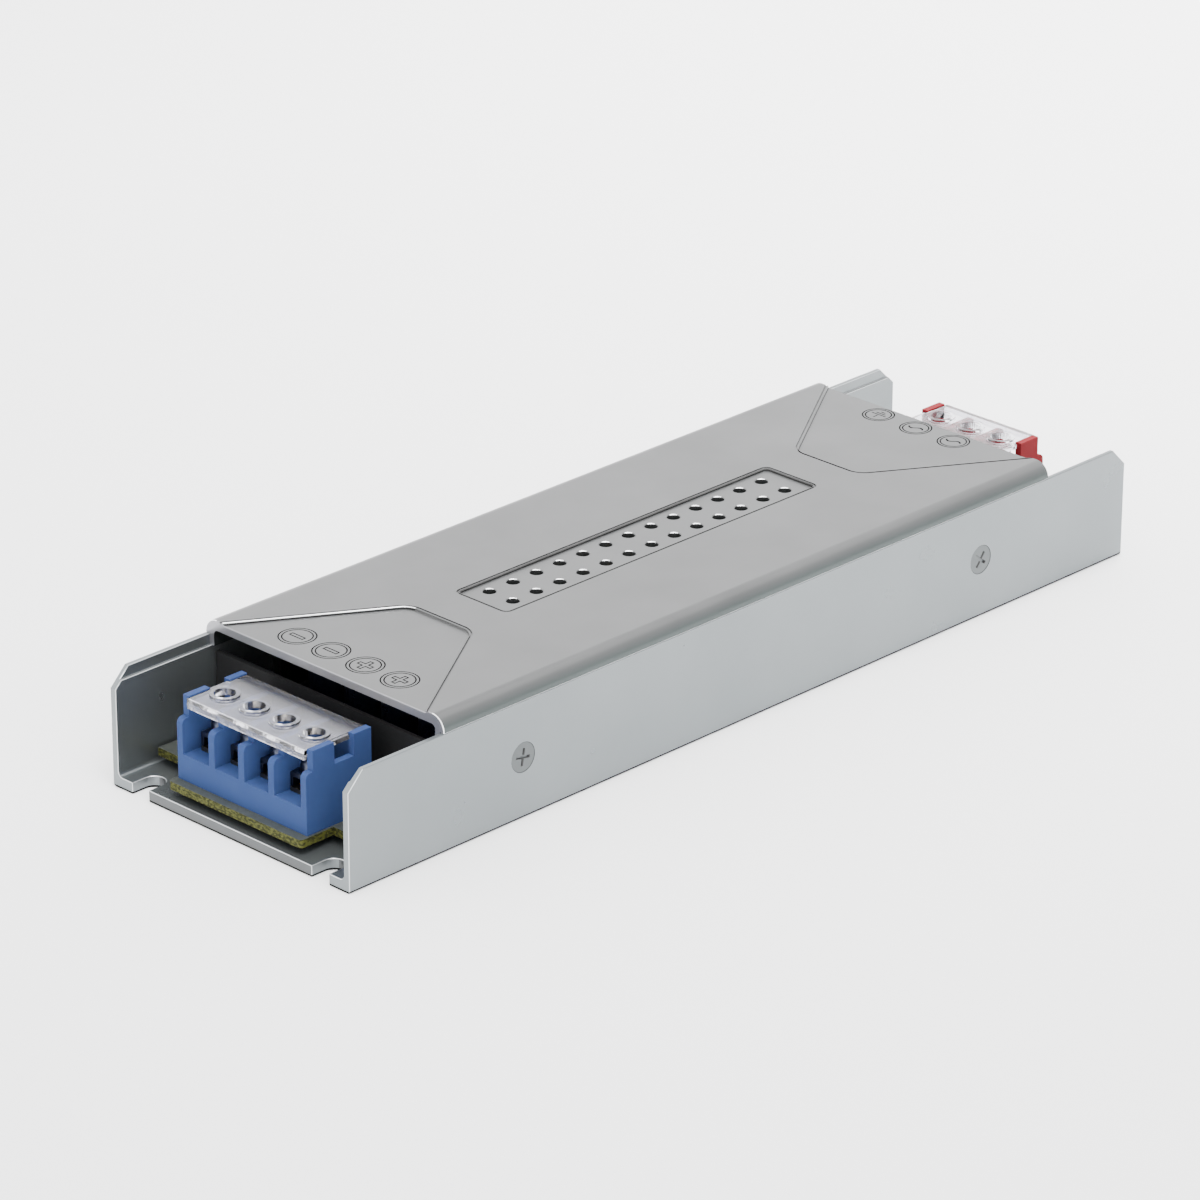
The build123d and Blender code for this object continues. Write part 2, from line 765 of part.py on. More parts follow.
# Bulk capacitors lying along the case
with BuildPart() as bulk_capacitors:
    radius = bulk_cap_diameter / 2
    for side in (-1, 1):
        cap_axis = Plane(
            origin=(bulk_x - bulk_cap_length / 2, side * bulk_cap_spacing / 2, board_top + seat_gap + radius),
            x_dir=(0, 0, 1),
            z_dir=(0, 1, 0),
        )
        with BuildSketch(cap_axis):
            with BuildLine():
                Polyline(
                    (0, 0),
                    (radius, 0),
                    (radius, bulk_cap_groove_place - bulk_cap_groove_width / 2),
                    (radius - bulk_cap_groove, bulk_cap_groove_place),
                    (radius, bulk_cap_groove_place + bulk_cap_groove_width / 2),
                    (radius, bulk_cap_length - bulk_cap_groove),
                    (radius - bulk_cap_groove, bulk_cap_length),
                    (0, bulk_cap_length),
                    close=True,
                )
            make_face()
        revolve(axis=Axis(cap_axis.origin, cap_axis.y_dir))
finish(bulk_capacitors, "bulk_capacitors")

# Transformer: a pair of E cores through a bobbin that stands on its pin rails
window_length = transformer_length - 2 * core_leg
window_width = transformer_width / 2 - 2 * core_leg
with BuildPart() as transformer_core:
    with BuildSketch(Plane.XY.offset(core_z)):
        with Locations((transformer_x, 0)):
            Rectangle(transformer_length, transformer_width)
            with GridLocations(1, core_leg * 2 + window_width, 1, 2):
                Rectangle(window_length, window_width, mode=Mode.SUBTRACT)
            Rectangle(seat_gap, transformer_width, mode=Mode.SUBTRACT)
    extrude(amount=transformer_core_height / 2, both=True)
finish(transformer_core, "transformer_core")

with BuildPart() as transformer_bobbin:
    tube_plane = Plane.YZ.offset(transformer_x)
    leg_height = transformer_core_height + 2 * bobbin_play
    leg_width = 2 * core_leg + 2 * bobbin_play
    flange_width = 2 * (core_leg + window_width) - 2 * bobbin_play
    with BuildSketch(tube_plane):
        with Locations((0, core_z)):
            Rectangle(leg_width + 2 * bobbin_wall, leg_height + 2 * bobbin_wall)
    extrude(amount=window_length / 2 - bobbin_play, both=True)
    for side in (-1, 1):
        with BuildSketch(tube_plane.offset(side * (window_length / 2 - bobbin_play))):
            with Locations((0, core_z)):
                Rectangle(flange_width, bobbin_height)
        extrude(amount=-side * bobbin_wall)
        with BuildSketch(Plane.XY.offset(board_top)):
            with Locations((transformer_x + side * (window_length / 2 + rail_width / 2 - bobbin_wall), 0)):
                Rectangle(rail_width, flange_width)
        extrude(amount=rail_height)
    with BuildSketch(tube_plane):
        with Locations((0, core_z)):
            Rectangle(leg_width, leg_height)
    extrude(amount=window_length, both=True, mode=Mode.SUBTRACT)
finish(transformer_bobbin, "transformer_bobbin")

with BuildPart() as transformer_winding:
    with BuildSketch(tube_plane) as winding_section:
        with Locations((0, core_z)):
            Rectangle(flange_width - 2 * winding_margin, bobbin_height - 2 * winding_margin)
        fillet(winding_section.vertices(), winding_corner_radius)
        with Locations((0, core_z)):
            Rectangle(leg_width + 2 * bobbin_wall, leg_height + 2 * bobbin_wall, mode=Mode.SUBTRACT)
    extrude(amount=window_length / 2 - bobbin_play - bobbin_wall, both=True)
finish(transformer_winding, "transformer_winding")

# Control parts beside the transformer
control_y = (transformer_width / 2 + spacer_y + spacer_diameter / 2) / 2
finish(
    box_body(transformer_x, -control_y, controller_length, controller_width, controller_height),
    "controller_chip",
)
coupler_x = transformer_x + transformer_length / 4
finish(box_body(coupler_x, control_y, coupler_length, coupler_width, coupler_height), "optical_coupler")
finish(
    disc_body(transformer_x - transformer_length / 4, control_y, disc_cap_diameter, disc_cap_thickness),
    "safety_capacitor",
)

# Output inductor: a drum core and its winding
with BuildPart() as inductor_core:
    with BuildSketch(Plane.XY.offset(board_top)):
        with Locations((inductor_x, 0)):
            Circle(inductor_core_diameter / 2)
    extrude(amount=inductor_flange)
    with BuildSketch(Plane.XY.offset(board_top)):
        with Locations((inductor_x, 0)):
            Circle(inductor_post_diameter / 2)
    extrude(amount=inductor_height)
    with BuildSketch(Plane.XY.offset(board_top + inductor_height - inductor_flange)):
        with Locations((inductor_x, 0)):
            Circle(inductor_core_diameter / 2)
    extrude(amount=inductor_flange)
finish(inductor_core, "inductor_core")

with BuildPart() as inductor_winding:
    with BuildSketch(Plane.XY.offset(board_top + inductor_flange)):
        with Locations((inductor_x, 0)):
            Circle(inductor_core_diameter / 2 - inductor_winding_margin)
            Circle(inductor_post_diameter / 2, mode=Mode.SUBTRACT)
    extrude(amount=inductor_height - 2 * inductor_flange)
finish(inductor_winding, "inductor_winding")

# Output capacitors standing in rows
with BuildPart() as output_capacitors:
    radius = output_cap_diameter / 2
    with BuildSketch(Plane.XY.offset(board_top)):
        with Locations((output_cap_x, 0)):
            with GridLocations(output_cap_pitch, output_cap_pitch, output_cap_columns, output_cap_rows):
                Circle(radius)
    extrude(amount=output_cap_height)
    chamfer(output_capacitors.edges().filter_by(GeomType.CIRCLE).group_by(Axis.Z)[-1], output_cap_edge)
finish(output_capacitors, "output_capacitors")


def device_places():
    """Middle and wall side of each power device: the switch near the input, the rectifier near the output."""
    return [(bulk_x, 1), (inductor_x, -1)]


def power_device(x, side):
    """Plastic body and metal tab with three legs to the board, facing the wall on this side."""
    back = side * (wall_inner - thermal_pad_thickness)
    with BuildPart() as device:
        with BuildSketch(Plane.XY.offset(device_foot)):
            with Locations((x, back - side * device_thickness / 2)):
                Rectangle(device_width, device_thickness)
        extrude(amount=device_body_height)
        with BuildSketch(Plane.XY.offset(device_foot + device_body_height)):
            with Locations((x, back - side * device_tab_thickness / 2)):
                Rectangle(device_width, device_tab_thickness)
        extrude(amount=device_tab_height)
        with BuildSketch(Plane.XY.offset(device_foot)):
            with Locations((x, back - side * device_thickness / 2)):
                with GridLocations(device_leg_pitch, 1, 3, 1):
                    Rectangle(device_leg_width, device_leg_width)
        extrude(amount=-device_lift)
    return device


device_names = ("switching_transistor", "output_rectifier")
for (device_x, device_side), device_name in zip(device_places(), device_names):
    finish(power_device(device_x, device_side), device_name)

with BuildPart() as thermal_pads:
    for device_x, device_side in device_places():
        with BuildSketch(Plane.XZ.offset(-device_side * wall_inner)):
            pad_height = device_body_height + device_tab_height
            with Locations((device_x, device_foot + pad_height / 2)):
                Rectangle(device_width + 2 * thermal_pad_margin, pad_height + 2 * thermal_pad_margin)
        extrude(amount=device_side * thermal_pad_thickness)
finish(thermal_pads, "thermal_pads")

with BuildPart() as spring_clips:
    for device_x, device_side in device_places():
        clip_back = device_side * (wall_inner - thermal_pad_thickness - device_thickness)
        with BuildSketch(Plane.YZ.offset(device_x)):
            with BuildLine():
                Polyline(
                    (clip_back, board_top),
                    (clip_back, board_top + spring_height),
                    (clip_back - device_side * spring_thickness, board_top + spring_height),
                    (clip_back - device_side * spring_thickness, board_top + spring_thickness),
                    (clip_back - device_side * spring_foot, board_top + spring_thickness),
                    (clip_back - device_side * spring_foot, board_top),
                    close=True,
                )
            make_face()
        extrude(amount=spring_width / 2, both=True)
finish(spring_clips, "spring_clips")
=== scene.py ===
"""Looks of the slim enclosed power supply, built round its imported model.

Metres, +Z up. The output end with the blue block is at -X, the input end with the red block at +X.
Pieces that exist at both ends are modelled at the output end and turned half a turn about Z.
"""

import logging
import math
from dataclasses import dataclass
from enum import Enum, IntEnum
from typing import Callable, Iterable, Sequence

import bmesh
import bpy
from mathutils import Matrix, Vector


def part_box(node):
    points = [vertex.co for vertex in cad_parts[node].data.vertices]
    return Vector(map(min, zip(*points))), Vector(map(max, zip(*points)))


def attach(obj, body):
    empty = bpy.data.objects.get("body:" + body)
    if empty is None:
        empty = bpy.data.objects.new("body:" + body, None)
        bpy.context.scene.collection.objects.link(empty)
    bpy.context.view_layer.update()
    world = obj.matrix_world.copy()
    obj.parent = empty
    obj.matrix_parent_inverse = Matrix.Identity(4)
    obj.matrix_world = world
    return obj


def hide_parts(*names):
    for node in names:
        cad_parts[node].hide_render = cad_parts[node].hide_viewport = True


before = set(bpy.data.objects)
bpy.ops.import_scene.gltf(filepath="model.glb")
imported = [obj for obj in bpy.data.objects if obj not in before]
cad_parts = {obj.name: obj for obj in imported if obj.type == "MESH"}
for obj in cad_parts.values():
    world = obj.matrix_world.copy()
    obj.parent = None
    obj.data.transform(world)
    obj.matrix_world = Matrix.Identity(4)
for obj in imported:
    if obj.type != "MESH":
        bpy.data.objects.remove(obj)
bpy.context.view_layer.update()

MM = 0.001
Colour = tuple[float, float, float]
Point = Sequence[float]
log = logging.getLogger("power_supply")


class End(Enum):
    """The two ends of the case, with the sign of X that each lies on."""

    OUTPUT = -1
    INPUT = 1

    @property
    def word(self) -> str:
        """Lower-case name used in the names of nodes and pieces."""
        return self.name.lower()


class Sign(Enum):
    """Generic marks pressed into the cover beside the terminals."""

    MINUS = "minus"
    PLUS = "plus"
    EARTH = "earth"
    WAVE = "wave"


class CaseFinish(IntEnum):
    """Order of the finishes on the channel."""

    # The eased edges take a painted highlight; the lines and the base ends take painted shade.
    SKIN = 0
    EDGE = 1
    LINE = 2
    PAINTED_SHADE_END = 3


class CoverFinish(IntEnum):
    """Order of the finishes on the cover."""

    # The eased edges take a painted highlight; the lines and the recess walls take painted shade.
    SKIN = 0
    EDGE = 1
    LINE = 2
    WALL = 3
    END = 4


class Bench:
    """Makes and shapes meshes as at a modeller's bench, with operators on what is selected."""

    @staticmethod
    def take(piece: bpy.types.Object) -> None:
        """Makes the piece the only selected object, and the active one."""
        if bpy.context.mode != "OBJECT":
            bpy.ops.object.mode_set(mode="OBJECT")
        bpy.ops.object.select_all(action="DESELECT")
        piece.select_set(True)
        bpy.context.view_layer.objects.active = piece

    @staticmethod
    def settle(piece: bpy.types.Object) -> bpy.types.Object:
        """Moves the piece's place, turn and size into its mesh.

        Args:
            piece: object with a place of its own.

        Returns:
            The same object, standing at the origin.
        """
        Bench.take(piece)
        bpy.ops.object.transform_apply(location=True, rotation=True, scale=True)
        return piece

    @staticmethod
    def _named(name: str) -> bpy.types.Object:
        """Names the primitive just added and settles it."""
        piece = bpy.context.view_layer.objects.active
        piece.name = name
        piece.data.name = name
        return Bench.settle(piece)

    @staticmethod
    def block(name: str, corner: Point, opposite: Point) -> bpy.types.Object:
        """Adds a cuboid.

        Args:
            name: name of the new object.
            corner: any corner.
            opposite: the corner across from it.

        Returns:
            The new object.
        """
        bpy.ops.object.select_all(action="DESELECT")
        low, high = Vector(tuple(map(min, corner, opposite))), Vector(tuple(map(max, corner, opposite)))
        bpy.ops.mesh.primitive_cube_add(size=1.0, location=(low + high) / 2, scale=high - low)
        return Bench._named(name)

    @staticmethod
    def rod(
        name: str, start: Point, end: Point, radius: float, end_radius: float | None = None, sides: int = 40
    ) -> bpy.types.Object:
        """Adds a cylinder or a cone frustum between two points.

        Args:
            name: name of the new object.
            start: centre of the first face.
            end: centre of the second face.
            radius: radius at the start.
            end_radius: radius at the end, the same as at the start if left out.
            sides: number of sides.

        Returns:
            The new object.
        """
        bpy.ops.object.select_all(action="DESELECT")
        start, end = Vector(start), Vector(end)
        run = end - start
        bpy.ops.mesh.primitive_cone_add(
            vertices=sides,
            radius1=radius,
            radius2=radius if end_radius is None else end_radius,
            depth=run.length,
            location=(start + end) / 2,
            rotation=run.to_track_quat("Z", "Y").to_euler(),
        )
        return Bench._named(name)

    @staticmethod
    def join(pieces: Sequence[bpy.types.Object], name: str) -> bpy.types.Object:
        """Joins several objects into the first of them.

        Args:
            pieces: objects to join.
            name: name of the result.

        Returns:
            The joined object.
        """
        Bench.take(pieces[0])
        for piece in pieces[1:]:
            piece.select_set(True)
        if len(pieces) > 1:
            bpy.ops.object.join()
        pieces[0].name = name
        return pieces[0]

    @staticmethod
    def _edit(piece: bpy.types.Object, kind: str) -> bmesh.types.BMesh:
        """Enters edit mode with nothing selected.

        Args:
            piece: object to edit.
            kind: what is going to be selected, VERT, EDGE or FACE.

        Returns:
            The mesh under edit.
        """
        Bench.take(piece)
        bpy.ops.object.mode_set(mode="EDIT")
        bpy.ops.mesh.select_mode(type=kind)
        bpy.ops.mesh.select_all(action="DESELECT")
        return bmesh.from_edit_mesh(piece.data)

    @staticmethod
    def select_points(piece: bpy.types.Object, wanted: Callable[[Vector], bool]) -> None:
        """Enters edit mode with only some points selected.

        Args:
            piece: object to edit.
            wanted: says whether the point at this place is to be selected.
        """
        mesh = Bench._edit(piece, "VERT")
        for point in mesh.verts:
            point.select_set(wanted(point.co))
        mesh.select_flush_mode()
        bmesh.update_edit_mesh(piece.data)

    @staticmethod
    def select_edges(piece: bpy.types.Object, wanted: Callable[[Vector, Vector], bool]) -> int:
        """Enters edit mode with only some edges selected.

        Args:
            piece: object to edit.
            wanted: says whether the edge between two points is to be selected.

        Returns:
            The number of edges selected.
        """
        mesh = Bench._edit(piece, "EDGE")
        chosen = [edge for edge in mesh.edges if wanted(edge.verts[0].co, edge.verts[1].co)]
        for edge in chosen:
            edge.select_set(True)
        bmesh.update_edit_mesh(piece.data)
        return len(chosen)

    @staticmethod
    def select_faces(piece: bpy.types.Object, wanted: Callable[[Vector], bool]) -> None:
        """Enters edit mode with only some faces selected.

        Args:
            piece: object to edit.
            wanted: says whether the face with this middle is to be selected.
        """
        mesh = Bench._edit(piece, "FACE")
        for face in mesh.faces:
            if wanted(face.calc_center_median()):
                face.select_set(True)
        bmesh.update_edit_mesh(piece.data)

    @staticmethod
    def round_edges(
        piece: bpy.types.Object, wanted: Callable[[Vector, Vector], bool], radius: float, segments: int = 5
    ) -> None:
        """Rounds the edges that a test picks.

        Args:
            piece: object to shape.
            wanted: says whether the edge between two points is rounded.
            radius: radius of the rounding.
            segments: number of steps across it.
        """
        if Bench.select_edges(piece, wanted):
            bpy.ops.mesh.bevel(offset=radius, segments=segments, affect="EDGES", profile=0.5)
        bpy.ops.object.mode_set(mode="OBJECT")

    @staticmethod
    def cut_corner(piece: bpy.types.Object, place: Point, outward: Point) -> None:
        """Slices off what lies outside a plane and closes the cut.

        Args:
            piece: object to shape.
            place: a point on the plane.
            outward: normal that points to the side cut away.
        """
        Bench.take(piece)
        bpy.ops.object.mode_set(mode="EDIT")
        bpy.ops.mesh.select_all(action="SELECT")
        bpy.ops.mesh.bisect(plane_co=place, plane_no=outward, use_fill=True, clear_outer=True)
        bpy.ops.object.mode_set(mode="OBJECT")

    @staticmethod
    def score(piece: bpy.types.Object, height: float) -> None:
        """Adds edges where a level plane crosses the piece, without changing its shape.

        Args:
            piece: object to mark.
            height: height of the plane.
        """
        Bench.take(piece)
        bpy.ops.object.mode_set(mode="EDIT")
        bpy.ops.mesh.select_all(action="SELECT")
        bpy.ops.mesh.bisect(plane_co=(0, 0, height), plane_no=(0, 0, 1))
        bpy.ops.object.mode_set(mode="OBJECT")

    @staticmethod
    def combine(
        piece: bpy.types.Object, tools: Iterable[bpy.types.Object], operation: str
    ) -> bpy.types.Object:
        """Cuts or adds other solids, which are used up.

        Args:
            piece: object to shape.
            tools: solids to cut with or to add.
            operation: DIFFERENCE or UNION.

        Returns:
            The shaped object.
        """
        for tool in tools:
            Bench.take(piece)
            modifier = piece.modifiers.new("shape", "BOOLEAN")
            modifier.operation = operation
            modifier.solver = "EXACT"
            modifier.object = tool
            bpy.ops.object.modifier_apply(modifier=modifier.name)
            bpy.data.objects.remove(tool, do_unlink=True)
        return piece

    @staticmethod
    def cut(piece: bpy.types.Object, *tools: bpy.types.Object) -> bpy.types.Object:
        """Cuts other solids out of the piece."""
        return Bench.combine(piece, tools, "DIFFERENCE")

    @staticmethod
    def add(piece: bpy.types.Object, *tools: bpy.types.Object) -> bpy.types.Object:
        """Adds other solids to the piece."""
        return Bench.combine(piece, tools, "UNION")

    @staticmethod
    def ease(
        piece: bpy.types.Object, width: float, segments: int = 2, angle: float = 30.0, finish: int = -1
    ) -> None:
        """Eases every sharp edge a little, as on the real piece.

        Args:
            piece: object to finish.
            width: width of the eased edge.
            segments: number of steps across it.
            angle: edges sharper than this many degrees are eased.
            finish: index of the finish on the eased edges, or -1 for the finish beside them.
        """
        Bench.take(piece)
        bevel = piece.modifiers.new("ease", "BEVEL")
        bevel.width = width
        bevel.segments = segments
        bevel.limit_method = "ANGLE"
        bevel.angle_limit = math.radians(angle)
        bevel.miter_outer = "MITER_ARC"
        bevel.material = finish
        bpy.ops.object.modifier_apply(modifier=bevel.name)

    @staticmethod
    def shade(piece: bpy.types.Object, angle: float = 35.0) -> None:
        """Shades the piece smooth, with flat faces kept flat.

        Args:
            piece: object to finish.
            angle: edges sharper than this many degrees stay sharp.
        """
        Bench.take(piece)
        bpy.ops.object.shade_smooth_by_angle(angle=math.radians(angle))
        weighted = piece.modifiers.new("faces", "WEIGHTED_NORMAL")
        weighted.keep_sharp = True
        weighted.weight = 100
        bpy.ops.object.modifier_apply(modifier=weighted.name)


class Graph:
    """Node tree of one material, with its shader and short calls to add nodes."""

    def __init__(self, name: str) -> None:
        """Starts a material with a principled shader on Object coordinates."""
        self.material = bpy.data.materials.new(name)
        self.material.use_nodes = True
        self.tree = self.material.node_tree
        self.shader = next(node for node in self.tree.nodes if node.type == "BSDF_PRINCIPLED")
        self.place = self.add("ShaderNodeTexCoord").outputs["Object"]

    def add(self, kind: str, **settings: object) -> bpy.types.Node:
        """Adds a node.

        Args:
            kind: Blender's name of the node type.
            settings: properties of the node.

        Returns:
            The node.
        """
        node = self.tree.nodes.new(kind)
        for key, value in settings.items():
            setattr(node, key, value)
        return node

    def link(self, source: bpy.types.NodeSocket, target: bpy.types.NodeSocket) -> None:
        """Joins two sockets."""
        self.tree.links.new(source, target)

    def set(self, **values: object) -> None:
        """Sets constants on the shader's own sockets, with spaces in their names as underscores."""
        for key, value in values.items():
            self.shader.inputs[key.replace("_", " ")].default_value = value

    def noise(
        self, scale: float, detail: float = 3.0, stretch: Point = (1.0, 1.0, 1.0)
    ) -> bpy.types.NodeSocket:
        """Adds a noise pattern on the piece's own place.

        Args:
            scale: cells per metre.
            detail: octaves.
            stretch: scale along each axis.

        Returns:
            The pattern's value socket.
        """
        mapping = self.add("ShaderNodeMapping")
        mapping.inputs["Scale"].default_value = stretch
        self.link(self.place, mapping.inputs["Vector"])
        noise = self.add("ShaderNodeTexNoise")
        noise.inputs["Scale"].default_value = scale
        noise.inputs["Detail"].default_value = detail
        self.link(mapping.outputs["Vector"], noise.inputs["Vector"])
        return noise.outputs["Fac"]

    def ramp(
        self, source: bpy.types.NodeSocket, low: float, high: float, low_value: float, high_value: float
    ) -> bpy.types.NodeSocket:
        """Maps a pattern's range onto another.

        Args:
            source: value to map.
            low: value that gives low_value.
            high: value that gives high_value.
            low_value: result at low.
            high_value: result at high.

        Returns:
            The mapped value socket.
        """
        node = self.add("ShaderNodeMapRange")
        node.inputs["From Min"].default_value = low
        node.inputs["From Max"].default_value = high
        node.inputs["To Min"].default_value = low_value
        node.inputs["To Max"].default_value = high_value
        self.link(source, node.inputs["Value"])
        return node.outputs["Result"]

    def blend(self, source: bpy.types.NodeSocket, first: Colour, second: Colour) -> bpy.types.NodeSocket:
        """Mixes two colours by a pattern.

        Args:
            source: share of the second colour.
            first: colour at 0.
            second: colour at 1.

        Returns:
            The colour socket.
        """
        mix = self.add("ShaderNodeMix", data_type="RGBA")
        mix.inputs[6].default_value = (*first, 1.0)
        mix.inputs[7].default_value = (*second, 1.0)
        self.link(source, mix.inputs[0])
        return mix.outputs[2]

    def along(self, axis: str) -> bpy.types.NodeSocket:
        """Adds a reading of the piece's own place along one axis."""
        split = self.add("ShaderNodeSeparateXYZ")
        self.link(self.place, split.inputs[0])
        return split.outputs[axis]

    def fade(self, colour: bpy.types.NodeSocket, drift: "Drift") -> bpy.types.NodeSocket:
        """Darkens a colour along one axis of the piece: painted shade.

        Args:
            colour: colour socket.
            drift: where and how far the painted shade darkens the colour.

        Returns:
            The colour socket with the painted shade.
        """
        share = self.ramp(self.along(drift.axis), drift.start, drift.end, 0.0, 1.0)
        product = self.add("ShaderNodeVectorMath", operation="MULTIPLY")
        self.link(colour, product.inputs[0])
        self.link(self.blend(share, (1.0, 1.0, 1.0), drift.tint), product.inputs[1])
        return product.outputs["Vector"]

    def bump(self, source: bpy.types.NodeSocket, strength: float, distance: float) -> None:
        """Roughens the surface with a pattern.

        Args:
            source: height pattern.
            strength: share of the full effect.
            distance: height of the full effect in metres.
        """
        bump = self.add("ShaderNodeBump")
        bump.inputs["Strength"].default_value = strength
        bump.inputs["Distance"].default_value = distance
        self.link(source, bump.inputs["Height"])
        self.link(bump.outputs["Normal"], self.shader.inputs["Normal"])


@dataclass(frozen=True)
class Drift:
    """Painted shade along an axis: no darkening at the start, a full darkening tint at the end."""

    axis: str
    start: float
    end: float
    tint: Colour


@dataclass(frozen=True)
class SatinMetal:
    """Metal with a fine blasted or drawn skin."""

    name: str
    colour: Colour
    cloud: Colour
    roughness: float
    metallic: float = 1.0
    grain_scale: float = 2600.0
    grain_height: float = 0.01 * MM
    drift: Drift | None = None

    def make(self) -> bpy.types.Material:
        """Builds the material: faint clouding in the colour, painted shade along an axis where given, uneven
        roughness and a fine grain.
        """
        graph = Graph(self.name)
        graph.set(Metallic=self.metallic)
        clouds = graph.ramp(graph.noise(38.0, 4.0), 0.35, 0.65, 0.0, 1.0)
        colour = graph.blend(clouds, self.colour, self.cloud)
        # Painted shade: darkens the colour along one axis where a shade ramp is given.
        if self.drift:
            colour = graph.fade(colour, self.drift)
        graph.link(colour, graph.shader.inputs["Base Color"])
        patches = graph.noise(90.0, 5.0)
        rough = graph.ramp(patches, 0.3, 0.7, self.roughness - 0.03, self.roughness + 0.04)
        graph.link(rough, graph.shader.inputs["Roughness"])
        graph.bump(graph.noise(self.grain_scale, 2.0), 0.25, self.grain_height)
        return graph.material


@dataclass(frozen=True)
class MouldedPlastic:
    """Moulded plastic with a fine spark-eroded skin."""

    name: str
    colour: Colour
    shade: Colour
    roughness: float
    scatter: float = 0.05
    gloss: float = 0.22
    skin_height: float = 0.015 * MM

    def make(self) -> bpy.types.Material:
        """Builds the material: slow changes of colour, uneven gloss and a moulded skin."""
        graph = Graph(self.name)
        graph.set(
            Subsurface_Weight=self.scatter, Subsurface_Scale=0.8 * MM, IOR=1.5, Specular_IOR_Level=self.gloss
        )
        flow = graph.ramp(graph.noise(120.0, 3.0), 0.35, 0.65, 0.0, 1.0)
        graph.link(graph.blend(flow, self.colour, self.shade), graph.shader.inputs["Base Color"])
        rough = graph.ramp(graph.noise(400.0, 4.0), 0.3, 0.7, self.roughness - 0.05, self.roughness + 0.06)
        graph.link(rough, graph.shader.inputs["Roughness"])
        graph.bump(graph.noise(5200.0, 2.0), 0.3, self.skin_height)
        return graph.material


@dataclass(frozen=True)
class ClearPlastic:
    """Clear moulded plastic with faint flow haze and painted shade towards the rear."""

    name: str
    tint: Colour
    roughness: float
    ripple: float = 0.12
    ripple_scale: float = 520.0
    ripple_height: float = 0.03 * MM
    # Painted shade towards the rear: its tint, where it is full and where it ends.
    smoke: Colour = (0.45, 0.40, 0.33)
    smoke_from: float = 84.0 * MM
    smoke_to: float = 89.5 * MM
    front_index: float = 1.52
    rear_index: float = 1.24

    def make(self) -> bpy.types.Material:
        """Builds the material: see-through, with painted shade and a weaker reflection towards the rear, and
        uneven haze.
        """
        graph = Graph(self.name)
        graph.set(Transmission_Weight=1.0)
        reach = graph.add("ShaderNodeMath", operation="ABSOLUTE")
        graph.link(graph.along("X"), reach.inputs[0])
        rear = graph.ramp(reach.outputs[0], self.smoke_from, self.smoke_to, 1.0, 0.0)
        # The index falls towards the rear, which dims the reflection there as painted shade.
        index = graph.ramp(rear, 0.0, 1.0, self.front_index, self.rear_index)
        graph.link(index, graph.shader.inputs["IOR"])
        # Painted shade: colour and reflection tint turn brownish grey towards the rear.
        tone = graph.blend(rear, self.tint, self.smoke)
        graph.link(tone, graph.shader.inputs["Base Color"])
        graph.link(tone, graph.shader.inputs["Specular Tint"])
        haze = graph.ramp(graph.noise(260.0, 4.0), 0.35, 0.7, self.roughness, self.roughness + 0.08)
        graph.link(haze, graph.shader.inputs["Roughness"])
        graph.bump(graph.noise(self.ripple_scale, 3.0), self.ripple, self.ripple_height)
        return graph.material


@dataclass(frozen=True)
class BoardMask:
    """Solder mask on the faces of the board."""

    name: str
    colour: Colour
    shade: Colour

    def make(self) -> bpy.types.Material:
        """Builds the material: a thin glossy coat over a faint woven ground."""
        graph = Graph(self.name)
        graph.set(IOR=1.52, Coat_Weight=0.25, Coat_Roughness=0.2)
        weave = graph.ramp(graph.noise(900.0, 3.0), 0.3, 0.7, 0.0, 1.0)
        graph.link(graph.blend(weave, self.colour, self.shade), graph.shader.inputs["Base Color"])
        graph.link(graph.ramp(graph.noise(300.0, 3.0), 0.3, 0.7, 0.38, 0.5), graph.shader.inputs["Roughness"])
        graph.bump(graph.noise(2400.0, 2.0), 0.3, 0.02 * MM)
        return graph.material


@dataclass(frozen=True)
class LaminateEdge:
    """Cut edge of the glass and epoxy board."""

    name: str
    resin: Colour
    fibre: Colour

    def make(self) -> bpy.types.Material:
        """Builds the material: yellow resin mottled by broken fibre bundles."""
        graph = Graph(self.name)
        graph.set(IOR=1.5, Specular_IOR_Level=0.12)
        mottle = graph.ramp(graph.noise(1500.0, 4.0, (1.0, 1.0, 1.8)), 0.42, 0.58, 0.0, 1.0)
        graph.link(graph.blend(mottle, self.resin, self.fibre), graph.shader.inputs["Base Color"])
        graph.link(graph.ramp(mottle, 0.0, 1.0, 0.55, 0.85), graph.shader.inputs["Roughness"])
        graph.bump(mottle, 0.5, 0.06 * MM)
        return graph.material


@dataclass(frozen=True)
class StudioFloor:
    """Seamless pale paper under the object."""

    name: str
    colour: Colour

    def make(self) -> bpy.types.Material:
        """Builds the material: matt paper with a trace of tooth."""
        graph = Graph(self.name)
        graph.set(Roughness=0.55, IOR=1.4)
        tone = graph.ramp(graph.noise(1.2, 2.0), 0.3, 0.7, 0.0, 1.0)
        lighter = tuple(min(1.0, channel * 1.02) for channel in self.colour)
        graph.link(graph.blend(tone, self.colour, lighter), graph.shader.inputs["Base Color"])
        return graph.material


